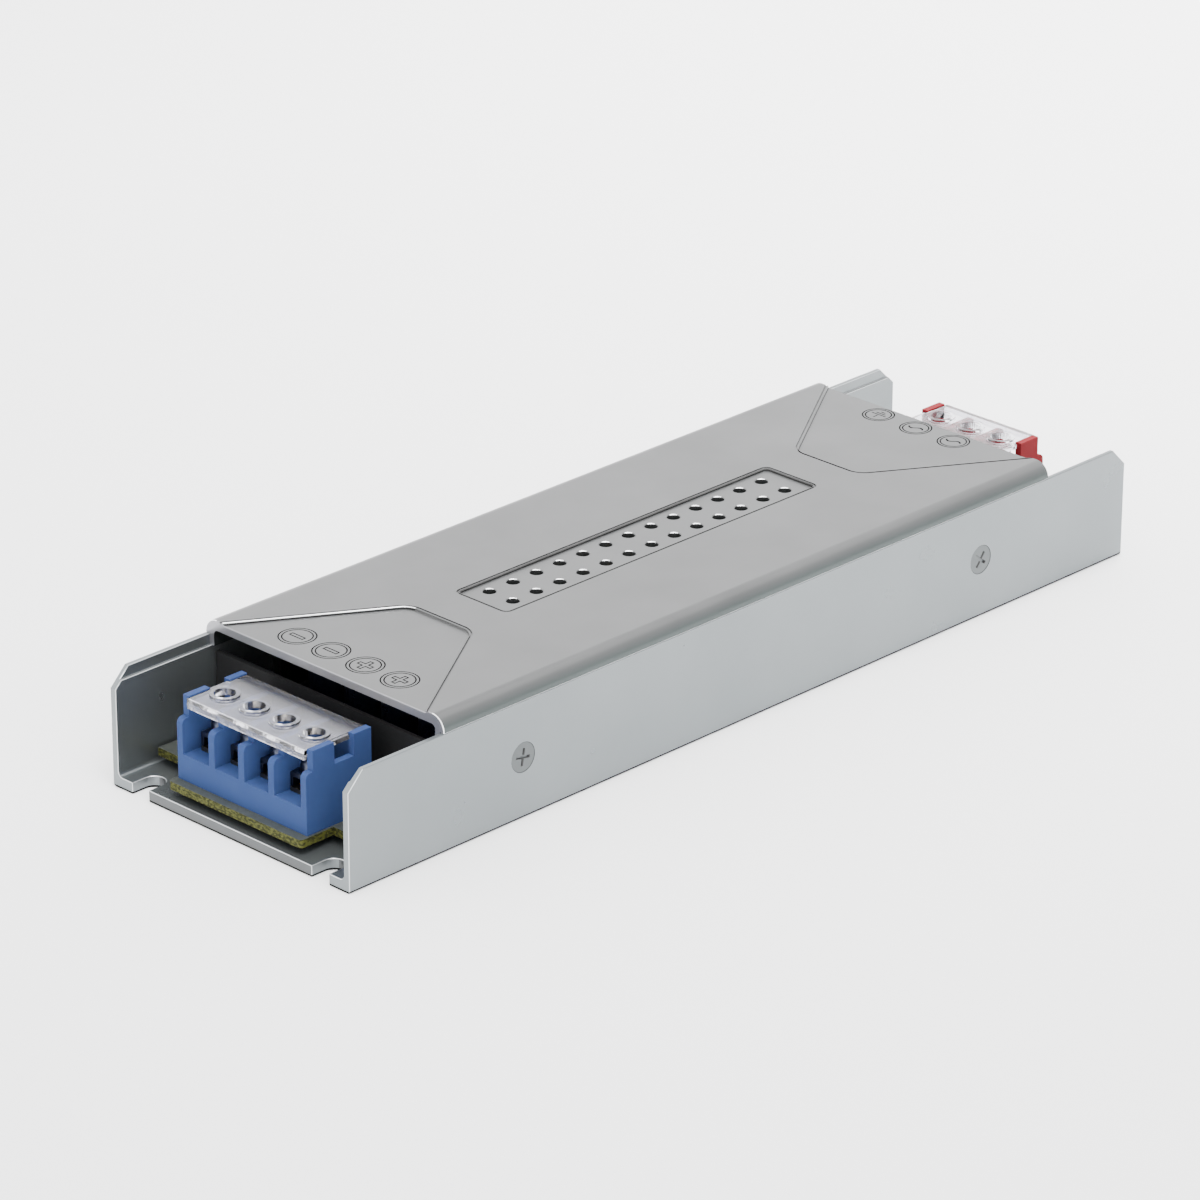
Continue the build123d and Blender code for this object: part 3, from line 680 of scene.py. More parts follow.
class Finishes:
    """Every finish on the object, made once and shared."""

    def __init__(self) -> None:
        """Builds the materials."""
        self.case = SatinMetal(
            "case_metal_skin", (0.168, 0.184, 0.190), (0.183, 0.199, 0.205), 0.30, 0.86
        ).make()
        self.cover = SatinMetal(
            "cover_metal_skin", (0.135, 0.137, 0.137), (0.145, 0.147, 0.147), 0.36, 0.92,
            # Painted shade: the cover darkens downward from 25.1 mm to 23.6 mm, over the lower part of its
            # shoulders.
            drift=Drift("Z", 25.1 * MM, 23.6 * MM, (0.50, 0.57, 0.56)),
        ).make()
        # Painted highlight: near-white metal for the eased cover edges, standing for glints of light.
        self.painted_highlight_edge = SatinMetal("painted_highlight_edge", (0.86, 0.87, 0.88), (0.93, 0.94, 0.95), 0.3, 0.45).make()
        # Painted highlight: lighter copy of the case metal for the eased edges of the channel.
        self.dressed = SatinMetal(
            "dressed_edge", (0.46, 0.475, 0.48), (0.52, 0.535, 0.54), 0.3, 0.7
        ).make()
        # Painted shade: darker copy of the metal for the end faces of the base plate.
        self.painted_shade_end = SatinMetal(
            "painted_shade_end", (0.094, 0.098, 0.100), (0.106, 0.110, 0.112), 0.36, 0.92
        ).make()
        self.sheared = SatinMetal(
            "sheared_end", (0.25, 0.25, 0.265), (0.29, 0.29, 0.305), 0.32, 0.85
        ).make()
        # Painted shade: near-black matt for engraved lines, screw seat rings and the foot line of the
        # channel.
        self.groove = self._matt("painted_shade_line", 0.0055)
        # Painted shade: dark matt for the walls of the vent recess, the score line walls and the screw cross
        # recesses.
        self.painted_recess_shade = self._matt("painted_recess_shade", 0.055)
        self.zinc = SatinMetal("zinc_plate", (0.098, 0.106, 0.108), (0.112, 0.12, 0.122), 0.3).make()
        self.nickel = SatinMetal("dark_nickel", (0.05, 0.056, 0.076), (0.064, 0.071, 0.094), 0.28).make()
        self.tinned = SatinMetal("tinned_brass", (0.11, 0.10, 0.085), (0.14, 0.13, 0.105), 0.34).make()
        self.copper = SatinMetal(
            "enamelled_copper", (0.16, 0.05, 0.015), (0.20, 0.07, 0.022), 0.30
        ).make()
        self.blue = MouldedPlastic(
            "blue_moulding", (0.024, 0.043, 0.118), (0.027, 0.048, 0.127), 0.5, gloss=0.03
        ).make()
        self.red = MouldedPlastic(
            "red_moulding", (0.165, 0.015, 0.019), (0.178, 0.018, 0.022), 0.5, gloss=0.03
        ).make()
        self.black = MouldedPlastic(
            "black_moulding", (0.004, 0.004, 0.0045), (0.006, 0.006, 0.0065), 0.5, 0.0
        ).make()
        self.film = MouldedPlastic(
            "black_film", (0.0075, 0.0075, 0.0079), (0.0095, 0.0095, 0.0100), 0.5, 0.0
        ).make()
        self.sleeve = MouldedPlastic(
            "capacitor_sleeve", (0.003, 0.004, 0.009), (0.005, 0.006, 0.012), 0.3, 0.0
        ).make()
        self.yellow = MouldedPlastic(
            "yellow_moulding", (0.18, 0.11, 0.012), (0.20, 0.125, 0.015), 0.35
        ).make()
        self.dipped = MouldedPlastic(
            "dipped_coating", (0.006, 0.027, 0.09), (0.009, 0.033, 0.10), 0.28
        ).make()
        self.ferrite = MouldedPlastic(
            "ferrite", (0.006, 0.006, 0.0065), (0.010, 0.010, 0.0105), 0.6, 0.0
        ).make()
        self.silicone = MouldedPlastic(
            "silicone_sheet", (0.06, 0.066, 0.075), (0.07, 0.078, 0.087), 0.7
        ).make()
        self.clear = ClearPlastic("clear_moulding", (0.95, 0.945, 1.0), 0.11).make()
        self.frosted = ClearPlastic(
            "frosted_apron", (0.95, 0.945, 1.0), 0.12, 1.0, 1400.0, 0.3 * MM
        ).make()
        self.mask = BoardMask("board_mask", (0.023, 0.027, 0.023), (0.031, 0.035, 0.030)).make()
        self.laminate = LaminateEdge("board_edge", (0.060, 0.063, 0.013), (0.018, 0.019, 0.006)).make()

    @staticmethod
    def _matt(name: str, tone: float) -> bpy.types.Material:
        """Dull dark grey of this tone: painted shade for lines and steps in shadow."""
        return MouldedPlastic(name, (tone,) * 3, (tone * 1.3,) * 3, 0.8, 0.0, 0.05).make()


def dress(piece: bpy.types.Object, *finishes: bpy.types.Material) -> None:
    """Gives a piece its finishes, the first of them all over."""
    piece.data.materials.clear()
    for finish in finishes:
        piece.data.materials.append(finish)


def place(piece: bpy.types.Object, body: str, slot: str, node: str) -> None:
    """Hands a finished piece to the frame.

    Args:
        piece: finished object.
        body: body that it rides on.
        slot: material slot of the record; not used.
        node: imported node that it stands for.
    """
    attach(piece, body)
    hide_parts(node)
    log.info("%s rides on %s and stands for %s", piece.name, body, node)


def same(first: float, second: float, within: float = 0.02 * MM) -> bool:
    """Whether two lengths agree."""
    return abs(first - second) < within


def lengthwise(height: float) -> Callable[[Vector, Vector], bool]:
    """Test for the edges that run along X at this height."""
    return lambda a, b: same(a.z, height) and same(b.z, height) and same(a.y, b.y)


@dataclass
class ChannelCase:
    """Folded channel: base, two walls with rebated lips, open end slots and countersunk sides."""

    finishes: Finishes
    base: float = 2.2 * MM
    wall: float = 1.4 * MM
    lip_height: float = 2.1 * MM
    lip: float = 0.95 * MM
    corner: float = 3.5 * MM
    outer_radius: float = 0.5 * MM
    inner_radius: float = 1.0 * MM
    slot_width: float = 4.3 * MM
    slot_depth: float = 5.3 * MM
    slot_spacing: float = 46.2 * MM
    edge: float = 0.11 * MM
    # Height of the band at the foot that takes a painted contact shadow.
    foot: float = 0.42 * MM
    seat_reach: float = 4.0 * MM
    over: float = 4.0 * MM

    def build(self, screws: "CaseScrews") -> None:
        """Models the channel.

        Args:
            screws: the case screws, whose seats are cut in the walls.
        """
        low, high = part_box("base_channel")
        body = Bench.block("channel", low, high)
        Bench.round_edges(body, lengthwise(low.z), self.outer_radius, 2)
        inner = high.y - self.wall
        floor = low.z + self.base
        cavity = Bench.block(
            "cavity", (low.x - self.over, -inner, floor), (high.x + self.over, inner, high.z + self.over)
        )
        Bench.round_edges(cavity, lengthwise(floor), self.inner_radius, 4)
        lip_inner = high.y - self.lip
        rebate = Bench.block(
            "rebate",
            (low.x - self.over, -lip_inner, high.z - self.lip_height),
            (high.x + self.over, lip_inner, high.z + self.over),
        )
        Bench.cut(body, cavity, rebate)
        for side in (-1, 1):
            Bench.cut_corner(body, (side * (high.x - self.corner), 0, high.z), (side, 0, 1))
            for end in (-1, 1):
                Bench.cut(body, self._slot(side, end))
        made = self.finishes
        # Skin, painted highlight for the eased edges, painted shade for the lines and for the base ends.
        dress(body, made.case, made.dressed, made.groove, made.painted_shade_end)
        Bench.ease(body, self.edge, 1, 46.0, finish=CaseFinish.EDGE)
        Bench.cut(body, *screws.seats())
        # Edges at the foot height, so that the band below can take a painted contact shadow.
        Bench.score(body, low.z + self.foot)
        self._sort_finishes(body, screws.centres())
        Bench.shade(body)
        place(body, "case", "case_metal", "base_channel")

    def _sort_finishes(self, body: bpy.types.Object, seats: list[Vector]) -> None:
        """Paints shade into the screw seats, along the foot line and on the end faces of the base.

        Args:
            body: channel with its seats cut.
            seats: middles of the screw seats.
        """
        low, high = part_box("base_channel")
        for face in body.data.polygons:
            middle, normal = face.center, face.normal
            conical = 0.2 < abs(normal.y) < 0.97
            ring = conical and any((middle - seat).length < self.seat_reach for seat in seats)
            # Screw seat rings get painted shade, and the band along the foot a painted contact shadow.
            if ring or (middle.z < low.z + self.foot and normal.z > -0.99):
                face.material_index = CaseFinish.LINE
            # End faces of the base plate get painted shade.
            elif middle.z < low.z + self.base and abs(normal.x) > 0.9:
                face.material_index = CaseFinish.PAINTED_SHADE_END
            # The outer top edges of the walls go back to the plain skin, without painted highlight.
            elif middle.z > high.z - self.edge and abs(middle.y) > high.y - self.edge:
                face.material_index = CaseFinish.SKIN

    def _slot(self, side: int, end: int) -> bpy.types.Object:
        """Cutter of one open slot at an end of the base."""
        low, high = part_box("base_channel")
        y = side * self.slot_spacing / 2
        radius = self.slot_width / 2
        centre_x = end * (high.x - self.slot_depth + radius)
        outside = end * (high.x + self.over)
        bottom, top = low.z - self.over, low.z + self.base + self.over / 4
        tool = Bench.block("slot", (centre_x, y - radius, bottom), (outside, y + radius, top))
        round_end = Bench.rod("slot_end", (centre_x, y, bottom), (centre_x, y, top), radius, sides=48)
        return Bench.add(tool, round_end)


@dataclass
class CaseScrews:
    """Four countersunk cross-head screws in the side walls."""

    finishes: Finishes
    shank: float = 1.5 * MM
    head: float = 2.8 * MM
    seat_play: float = 0.08 * MM
    head_depth: float = 1.3 * MM
    cross_width: float = 0.58 * MM
    cross_length: float = 3.4 * MM
    cross_depth: float = 0.55 * MM
    length: float = 5.4 * MM
    sunk: float = 0.06 * MM
    edge: float = 0.08 * MM
    seat_over: float = 0.3 * MM
    seat_reach: float = 4.0 * MM
    turns: tuple[float, ...] = (10.0, 37.0, 65.0, 24.0)

    def centres(self) -> list[Vector]:
        """Middle of each screw's head on the outer faces of the walls."""
        low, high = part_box("case_screws")
        x = high.x - self.head
        z = (low.z + high.z) / 2
        return [Vector((end * x, side * high.y, z)) for side in (-1, 1) for end in (-1, 1)]

    @staticmethod
    def _inward(centre: Vector) -> Vector:
        """Direction from a screw's head into the case."""
        return Vector((0, -math.copysign(1.0, centre.y), 0))

    def seats(self) -> list[bpy.types.Object]:
        """Cutters for the countersunk seats."""
        tools = []
        for centre in self.centres():
            inward = self._inward(centre)
            wide, narrow = self.head + self.seat_play, self.shank + self.seat_play
            outside, inside = centre - inward * self.seat_over, centre + inward * self.head_depth
            tool = Bench.rod("seat", outside, inside, wide + self.seat_over, narrow, 48)
            end = centre + inward * self.seat_reach
            through = Bench.rod("seat_hole", centre, end, self.shank + self.seat_play / 2, sides=48)
            tools.append(Bench.add(tool, through))
        return tools

    def build(self) -> None:
        """Models the screws as one piece of four solids."""
        screws = []
        for centre, turn in zip(self.centres(), self.turns):
            inward = self._inward(centre)
            top = centre + inward * self.sunk
            head = Bench.rod("head", top, top + inward * self.head_depth, self.head, self.shank, 48)
            neck, tip = top + inward * self.head_depth * 0.9, centre + inward * self.length
            Bench.add(head, Bench.rod("shank", neck, tip, self.shank, sides=32))
            Bench.cut(head, *self._cross(centre, turn))
            Bench.ease(head, self.edge, 2)
            Bench.shade(head)
            dress(head, self.finishes.zinc, self.finishes.painted_recess_shade)
            # Walls of the cross recess get the painted shade.
            for face in head.data.polygons:
                offset = face.center - centre
                reach = max(abs(offset.x), abs(offset.z)) < self.cross_length / 2 + 0.1 * MM
                shallow = abs(offset.y) < self.cross_depth + 0.1 * MM
                face.material_index = int(reach and shallow and abs(face.normal.y) < 0.6)
            screws.append(head)
        piece = Bench.join(screws, "side_screws")
        place(piece, "case", "case_screw", "case_screws")

    def _cross(self, centre: Vector, turn: float) -> list[bpy.types.Object]:
        """Cutters of the cross recess, turned by so many degrees as the screw happens to stand."""
        bars = []
        for quarter in (0.0, 90.0):
            bar = Bench.block(
                "bar",
                (-self.cross_length / 2, -self.cross_depth, -self.cross_width / 2),
                (self.cross_length / 2, self.cross_depth, self.cross_width / 2),
            )
            bar.rotation_euler.y = math.radians(turn + quarter)
            bar.location = centre
            bars.append(Bench.settle(bar))
        return bars


@dataclass(frozen=True)
class Mark:
    """Double ring round a generic sign, engraved in a face that looks up."""

    sign: Sign
    centre: Vector
    size: float = 1.0
    outer: float = 3.42 * MM
    inner: float = 2.78 * MM
    groove: float = 0.26 * MM
    depth: float = 0.2 * MM
    over: float = 0.5 * MM
    arm: float = 1.75 * MM
    arm_width: float = 1.05 * MM
    earth_bars: tuple[tuple[float, float], ...] = ((1.0, 0.05), (0.66, 0.42), (0.3, 0.79))
    wave_width: float = 0.416 * MM
    swing: float = 0.5 * MM
    steps: int = 16

    def cutters(self) -> list[bpy.types.Object]:
        """Solids to cut out of the face, clear of one another."""
        signs = {
            Sign.MINUS: self._minus,
            Sign.PLUS: self._plus,
            Sign.EARTH: self._earth,
            Sign.WAVE: self._wave,
        }
        rings = [self._ring(radius * self.size) for radius in (self.outer, self.inner)]
        return rings + signs[self.sign]()

    def _bar(self, length: float, width: float, shift: float = 0.0, extra: float = 0.0) -> bpy.types.Object:
        """Cuboid across the face, its length along Y.

        Args:
            length: extent along Y.
            width: extent along X.
            shift: how far its middle lies from the centre along X.
            extra: how much further it reaches below and above the groove.
        """
        middle = self.centre + Vector((shift, 0, 0))
        reach = Vector((width / 2, length / 2, 0))
        return Bench.block(
            "bar",
            middle - reach - Vector((0, 0, self.depth + extra)),
            middle + reach + Vector((0, 0, self.over + extra)),
        )

    def _disc(self, radius: float, extra: float) -> bpy.types.Object:
        """Disc through the face."""
        below = self.centre - Vector((0, 0, self.depth + extra))
        above = self.centre + Vector((0, 0, self.over + extra))
        return Bench.rod("disc", below, above, radius, sides=72)

    def _ring(self, radius: float) -> bpy.types.Object:
        """Groove round the centre."""
        return Bench.cut(
            self._disc(radius + self.groove / 2, 0.0), self._disc(radius - self.groove / 2, self.over)
        )

    def _cross(self, arm: float, width: float, extra: float) -> bpy.types.Object:
        """Solid cross."""
        return Bench.add(self._bar(2 * arm, width, 0.0, extra), self._bar(width, 2 * arm, 0.0, extra))

    def _minus(self) -> list[bpy.types.Object]:
        """Outline of a minus sign."""
        outer = self._bar(2 * self.arm, self.arm_width)
        inner = self._bar(2 * (self.arm - self.groove), self.arm_width - 2 * self.groove, 0.0, self.over)
        return [Bench.cut(outer, inner)]

    def _plus(self) -> list[bpy.types.Object]:
        """Outline of a plus sign."""
        outer = self._cross(self.arm, self.arm_width, 0.0)
        inner = self._cross(self.arm - self.groove, self.arm_width - 2 * self.groove, self.over)
        return [Bench.cut(outer, inner)]

    def _earth(self) -> list[bpy.types.Object]:
        """Earth sign: a stem and three bars that grow shorter towards the end of the case."""
        stem = self._bar(self.groove, self.arm - 2 * self.groove, -self.arm / 2)
        bars = [
            self._bar(2 * self.arm * share, self.groove, self.arm * shift) for share, shift in self.earth_bars
        ]
        return [stem, *bars]

    def _wave(self) -> list[bpy.types.Object]:
        """Strip along one period of a wave."""
        bpy.ops.object.select_all(action="DESELECT")
        floor = self.centre - Vector((0, 0, self.depth))
        bpy.ops.mesh.primitive_grid_add(x_subdivisions=1, y_subdivisions=self.steps, size=1.0, location=floor)
        strip = bpy.context.view_layer.objects.active
        strip.scale = (self.wave_width, 2 * self.arm, 1.0)
        Bench.settle(strip)
        for step in range(self.steps + 1):
            share = step / self.steps
            y = self.centre.y + (2 * share - 1) * self.arm
            Bench.select_points(strip, lambda point: same(point.y, y))
            bpy.ops.transform.translate(value=(self.swing * math.sin(2 * math.pi * share), 0, 0))
            bpy.ops.object.mode_set(mode="OBJECT")
        Bench.take(strip)
        bpy.ops.object.mode_set(mode="EDIT")
        bpy.ops.mesh.select_all(action="SELECT")
        bpy.ops.mesh.extrude_region_move(TRANSFORM_OT_translate={"value": (0, 0, self.depth + self.over)})
        bpy.ops.mesh.select_all(action="SELECT")
        bpy.ops.mesh.normals_make_consistent(inside=False)
        bpy.ops.object.mode_set(mode="OBJECT")
        return [strip]


@dataclass
class Cover:
    """Pressed top cover with recessed panels, vent holes and pressed marks."""

    finishes: Finishes
    side: float = 2.2 * MM
    thickness: float = 2.0 * MM
    shoulder: float = 2.9 * MM
    inner_radius: float = 0.9 * MM
    tongue_gap: float = 1.0 * MM
    recess: float = 0.45 * MM
    panel_wide: float = 26.15 * MM
    panel_narrow: float = 7.8 * MM
    panel_length: float = 28.6 * MM
    panel_radius: float = 1.8 * MM
    vent_length: float = 81.0 * MM
    vent_width: float = 12.4 * MM
    vent_radius: float = 0.9 * MM
    pitch: float = 5.95 * MM
    columns: int = 13
    rows: int = 2
    hole: float = 1.25 * MM
    lug_width: float = 9.0 * MM
    lug_thickness: float = 2.0 * MM
    lug_inset: float = 1.5 * MM
    tap: float = 1.55 * MM
    tap_reach: float = 8.0 * MM
    lap: float = 2.1 * MM
    root: float = 0.3 * MM
    edge: float = 0.13 * MM
    hair: float = 0.01 * MM
    score_inner: float = 0.2 * MM
    score_outer: float = 0.62 * MM
    score_depth: float = 0.25 * MM
    output_mark_x: float = -73.2 * MM
    output_mark_pitch: float = 8.7 * MM
    input_mark_x: float = 75.8 * MM
    input_mark_pitch: float = 9.57 * MM
    input_mark_size: float = 0.9
    mark_reach: float = 4.5 * MM
    over: float = 3.0 * MM

    def build(self, screws: CaseScrews) -> None:
        """Models the cover.

        Args:
            screws: the case screws, which the lugs take.
        """
        low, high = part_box("top_cover")
        lip_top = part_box("base_channel")[1].z
        body = Bench.block("cover", (low.x, low.y, lip_top), high)
        Bench.round_edges(body, lengthwise(high.z), self.shoulder, 10)
        Bench.cut(body, self._panel(-1), self._panel(1), self._vent_panel(), self._vent_holes())
        dress(body, *self._finishes())
        # The eased edges start with the painted highlight; faces out of the light lose it below.
        Bench.ease(body, self.edge, 1, 40.0, finish=CoverFinish.EDGE)
        under = high.z - self.thickness
        inner = high.y - self.side
        hollow = Bench.block(
            "hollow", (low.x - self.over, -inner, lip_top - self.over), (high.x + self.over, inner, under)
        )
        Bench.round_edges(hollow, lengthwise(under), self.inner_radius, 4)
        Bench.cut(body, hollow)
        for side in (-1, 1):
            Bench.add(body, self._tongue(side, lip_top), *self._lugs(side, under, screws))
        for face in body.data.polygons:
            face.material_index = self._finish_of(face, high)
        Bench.cut(body, self._engraving())
        Bench.shade(body)
        place(body, "case", "cover_metal", "top_cover")

    def _finishes(self) -> tuple[bpy.types.Material, ...]:
        """Finishes of the skin, the painted highlight on the eased edges, the painted shade of the engraved
        lines and of the recess walls, and the ends.
        """
        made = self.finishes
        return made.cover, made.painted_highlight_edge, made.groove, made.painted_recess_shade, made.sheared

    def _finish_of(self, face: bpy.types.MeshPolygon, high: Vector) -> int:
        """Picks the finish of one face by its place and normal, which decides where painted highlight and
        painted shade lie.

        Args:
            face: face of the eased cover.
            high: highest corner of the cover.

        Returns:
            Index of the finish.
        """
        level = high.z - self.recess
        middle, normal = face.center, face.normal
        eased = face.material_index == CoverFinish.EDGE
        at_end = abs(middle.x) > high.x - 2 * self.edge
        at_side = abs(middle.y) > high.y - self.shoulder
        if at_end and not at_side or abs(middle.x) > high.x - self.hair and abs(normal.x) > 0.9:
            return CoverFinish.END
        if at_end or at_side or normal.z < -0.1 or middle.z < level - self.edge:
            return face.material_index
        stepped = level + self.hair < middle.z < high.z - self.hair and normal.z < 0.95
        vent = abs(middle.x) < self.vent_length / 2 + MM and abs(middle.y) < self.vent_width / 2 + MM
        # Lit faces: on the output end, looking towards the near side; only there do stepped edges keep the
        # painted highlight.
        lit = middle.x < 0 and normal.y < -0.1
        # Vent hole rims keep the painted highlight only on the arc that faces the output end and the near
        # side.
        if vent and eased and middle.z < level:
            return CoverFinish.EDGE if normal.x + normal.y < -0.8 else CoverFinish.SKIN
        # Recess feet get the painted shade line where lit or round the vents and the painted recess shade
        # elsewhere; vent recess walls get the painted recess shade.
        if stepped and normal.z > 0.3 and middle.z < level + self.edge:
            return CoverFinish.LINE if lit or vent else CoverFinish.WALL
        if stepped and vent:
            return CoverFinish.WALL
        # Stepped eased edges out of the light lose the painted highlight.
        if stepped and eased and not lit:
            return CoverFinish.SKIN
        return face.material_index

    def _tongue(self, side: int, lip_top: float) -> bpy.types.Object:
        """One tongue that drops inside a lip of the channel."""
        low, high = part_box("top_cover")
        outer, inner = side * (high.y - self.tongue_gap), side * (high.y - self.side)
        return Bench.block("tongue", (low.x, outer, lip_top - self.lap), (high.x, inner, lip_top + self.root))

    def _lugs(self, side: int, under: float, screws: CaseScrews) -> list[bpy.types.Object]:
        """The two tapped lugs behind one wall.

        Args:
            side: sign of Y of the wall.
            under: height of the cover's underside.
            screws: the case screws, which the lugs take.

        Returns:
            The lugs.
        """
        low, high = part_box("top_cover")
        outer = side * (high.y - self.lug_inset)
        inner = outer - side * self.lug_thickness
        lugs = []
        for centre in screws.centres():
            if centre.y * side < 0:
                continue
            half = self.lug_width / 2
            lug = Bench.block(
                "lug", (centre.x - half, inner, low.z), (centre.x + half, outer, under + self.root)
            )
            reach = Vector((0, self.tap_reach, 0))
            lugs.append(Bench.cut(lug, Bench.rod("tap", centre - reach, centre + reach, self.tap, sides=24)))
        return lugs

    def _panel(self, end: int, grow: float = 0.0, depth: float = 0.45 * MM) -> bpy.types.Object:
        """Cutter with the outline of the recess at one end, narrowed towards the middle of the case.

        Args:
            end: sign of X of that end.
            grow: how far the outline lies outside that of the recess.
            depth: depth of the cut.

        Returns:
            The cutter.
        """
        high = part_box("top_cover")[1]
        slope = math.atan2(self.panel_wide - self.panel_narrow, self.panel_length + self.recess)
        narrow = self.panel_narrow + grow * (1 / math.cos(slope) - math.tan(slope))
        wide = narrow + (self.panel_length + grow + depth) * math.tan(slope)
        outer_x = end * (high.x + depth)
        inner_x = end * (high.x - self.panel_length - grow)
        tool = Bench.block("panel", (outer_x, -wide, high.z - depth), (inner_x, wide, high.z + depth))
        Bench.select_faces(tool, lambda middle: same(middle.x, inner_x))
        bpy.ops.transform.resize(value=(1.0, narrow / wide, 1.0), center_override=(inner_x, 0.0, high.z))
        bpy.ops.object.mode_set(mode="OBJECT")
        Bench.round_edges(
            tool,
            lambda a, b: same(a.x, inner_x) and same(b.x, inner_x) and same(a.y, b.y),
            self.panel_radius + grow,
            8,
        )
        return tool

    def _vent_panel(self, grow: float = 0.0, depth: float = 0.45 * MM) -> bpy.types.Object:
        """Cutter with the outline of the shallow recess round the vent holes.

        Args:
            grow: how far the outline lies outside that of the recess.
            depth: depth of the cut.

        Returns:
            The cutter.
        """
        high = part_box("top_cover")[1]
        x, y = self.vent_length / 2 + grow, self.vent_width / 2 + grow
        tool = Bench.block("vent_panel", (-x, -y, high.z - depth), (x, y, high.z + depth))
        Bench.round_edges(tool, lambda a, b: same(a.x, b.x) and same(a.y, b.y), self.vent_radius + grow, 5)
        return tool

    def _score_lines(self) -> list[bpy.types.Object]:
        """Cutters of the shallow grooves round the three recesses."""
        outlines = (
            lambda grow, depth: self._panel(-1, grow, depth),
            lambda grow, depth: self._panel(1, grow, depth),
            self._vent_panel,
        )
        return [
            Bench.cut(outline(self.score_outer, self.score_depth), outline(self.score_inner, self.recess))
            for outline in outlines
        ]

    def _vent_holes(self) -> bpy.types.Object:
        """Cutter of all the vent holes."""
        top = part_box("top_cover")[1].z
        bottom = top - self.thickness - self.over
        rods = []
        for column in range(self.columns):
            for row in range(self.rows):
                x = (column - (self.columns - 1) / 2) * self.pitch
                y = (row - (self.rows - 1) / 2) * self.pitch
                upper = (x, y, top + self.thickness)
                rods.append(Bench.rod("hole", (x, y, bottom), upper, self.hole, sides=28))
        return Bench.join(rods, "vent_holes")

    def _engraving(self) -> bpy.types.Object:
        """Cutter of the scored lines and of the marks beside the terminals."""
        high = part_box("top_cover")[1]
        level = high.z - self.recess
        output_signs = (Sign.MINUS, Sign.MINUS, Sign.PLUS, Sign.PLUS)
        input_signs = (Sign.EARTH, Sign.WAVE, Sign.WAVE)
        rows = (
            (self.output_mark_x, self.output_mark_pitch, output_signs, 1.0),
            (self.input_mark_x, self.input_mark_pitch, input_signs, self.input_mark_size),
        )
        cutters = self._score_lines()
        centres = []
        for x, pitch, signs, size in rows:
            for index, sign in enumerate(signs):
                centre = Vector((x, ((len(signs) - 1) / 2 - index) * pitch, level))
                cutters += Mark(sign, centre, size).cutters()
                centres.append(centre)
        whole = Bench.join(cutters, "engraving")
        dress(whole, *self._finishes())
        for face in whole.data.polygons:
            middle, normal = face.center, face.normal
            panel = abs(middle.x) > self.vent_length / 2 + 2 * MM
            home_x = math.copysign(high.x - self.panel_length / 2, middle.x) if panel else 0.0
            inner = abs(normal.z) < 0.5 and normal.x * (home_x - middle.x) - normal.y * middle.y > 0
            # Marks, and the inner score line walls on the input end's panels, get the painted shade line; the
            # other inner walls get the painted recess shade.
            if any((middle - centre).length < self.mark_reach for centre in centres):
                face.material_index = CoverFinish.LINE
            elif inner:
                face.material_index = CoverFinish.LINE if panel and middle.x > 0 else CoverFinish.WALL
        return whole


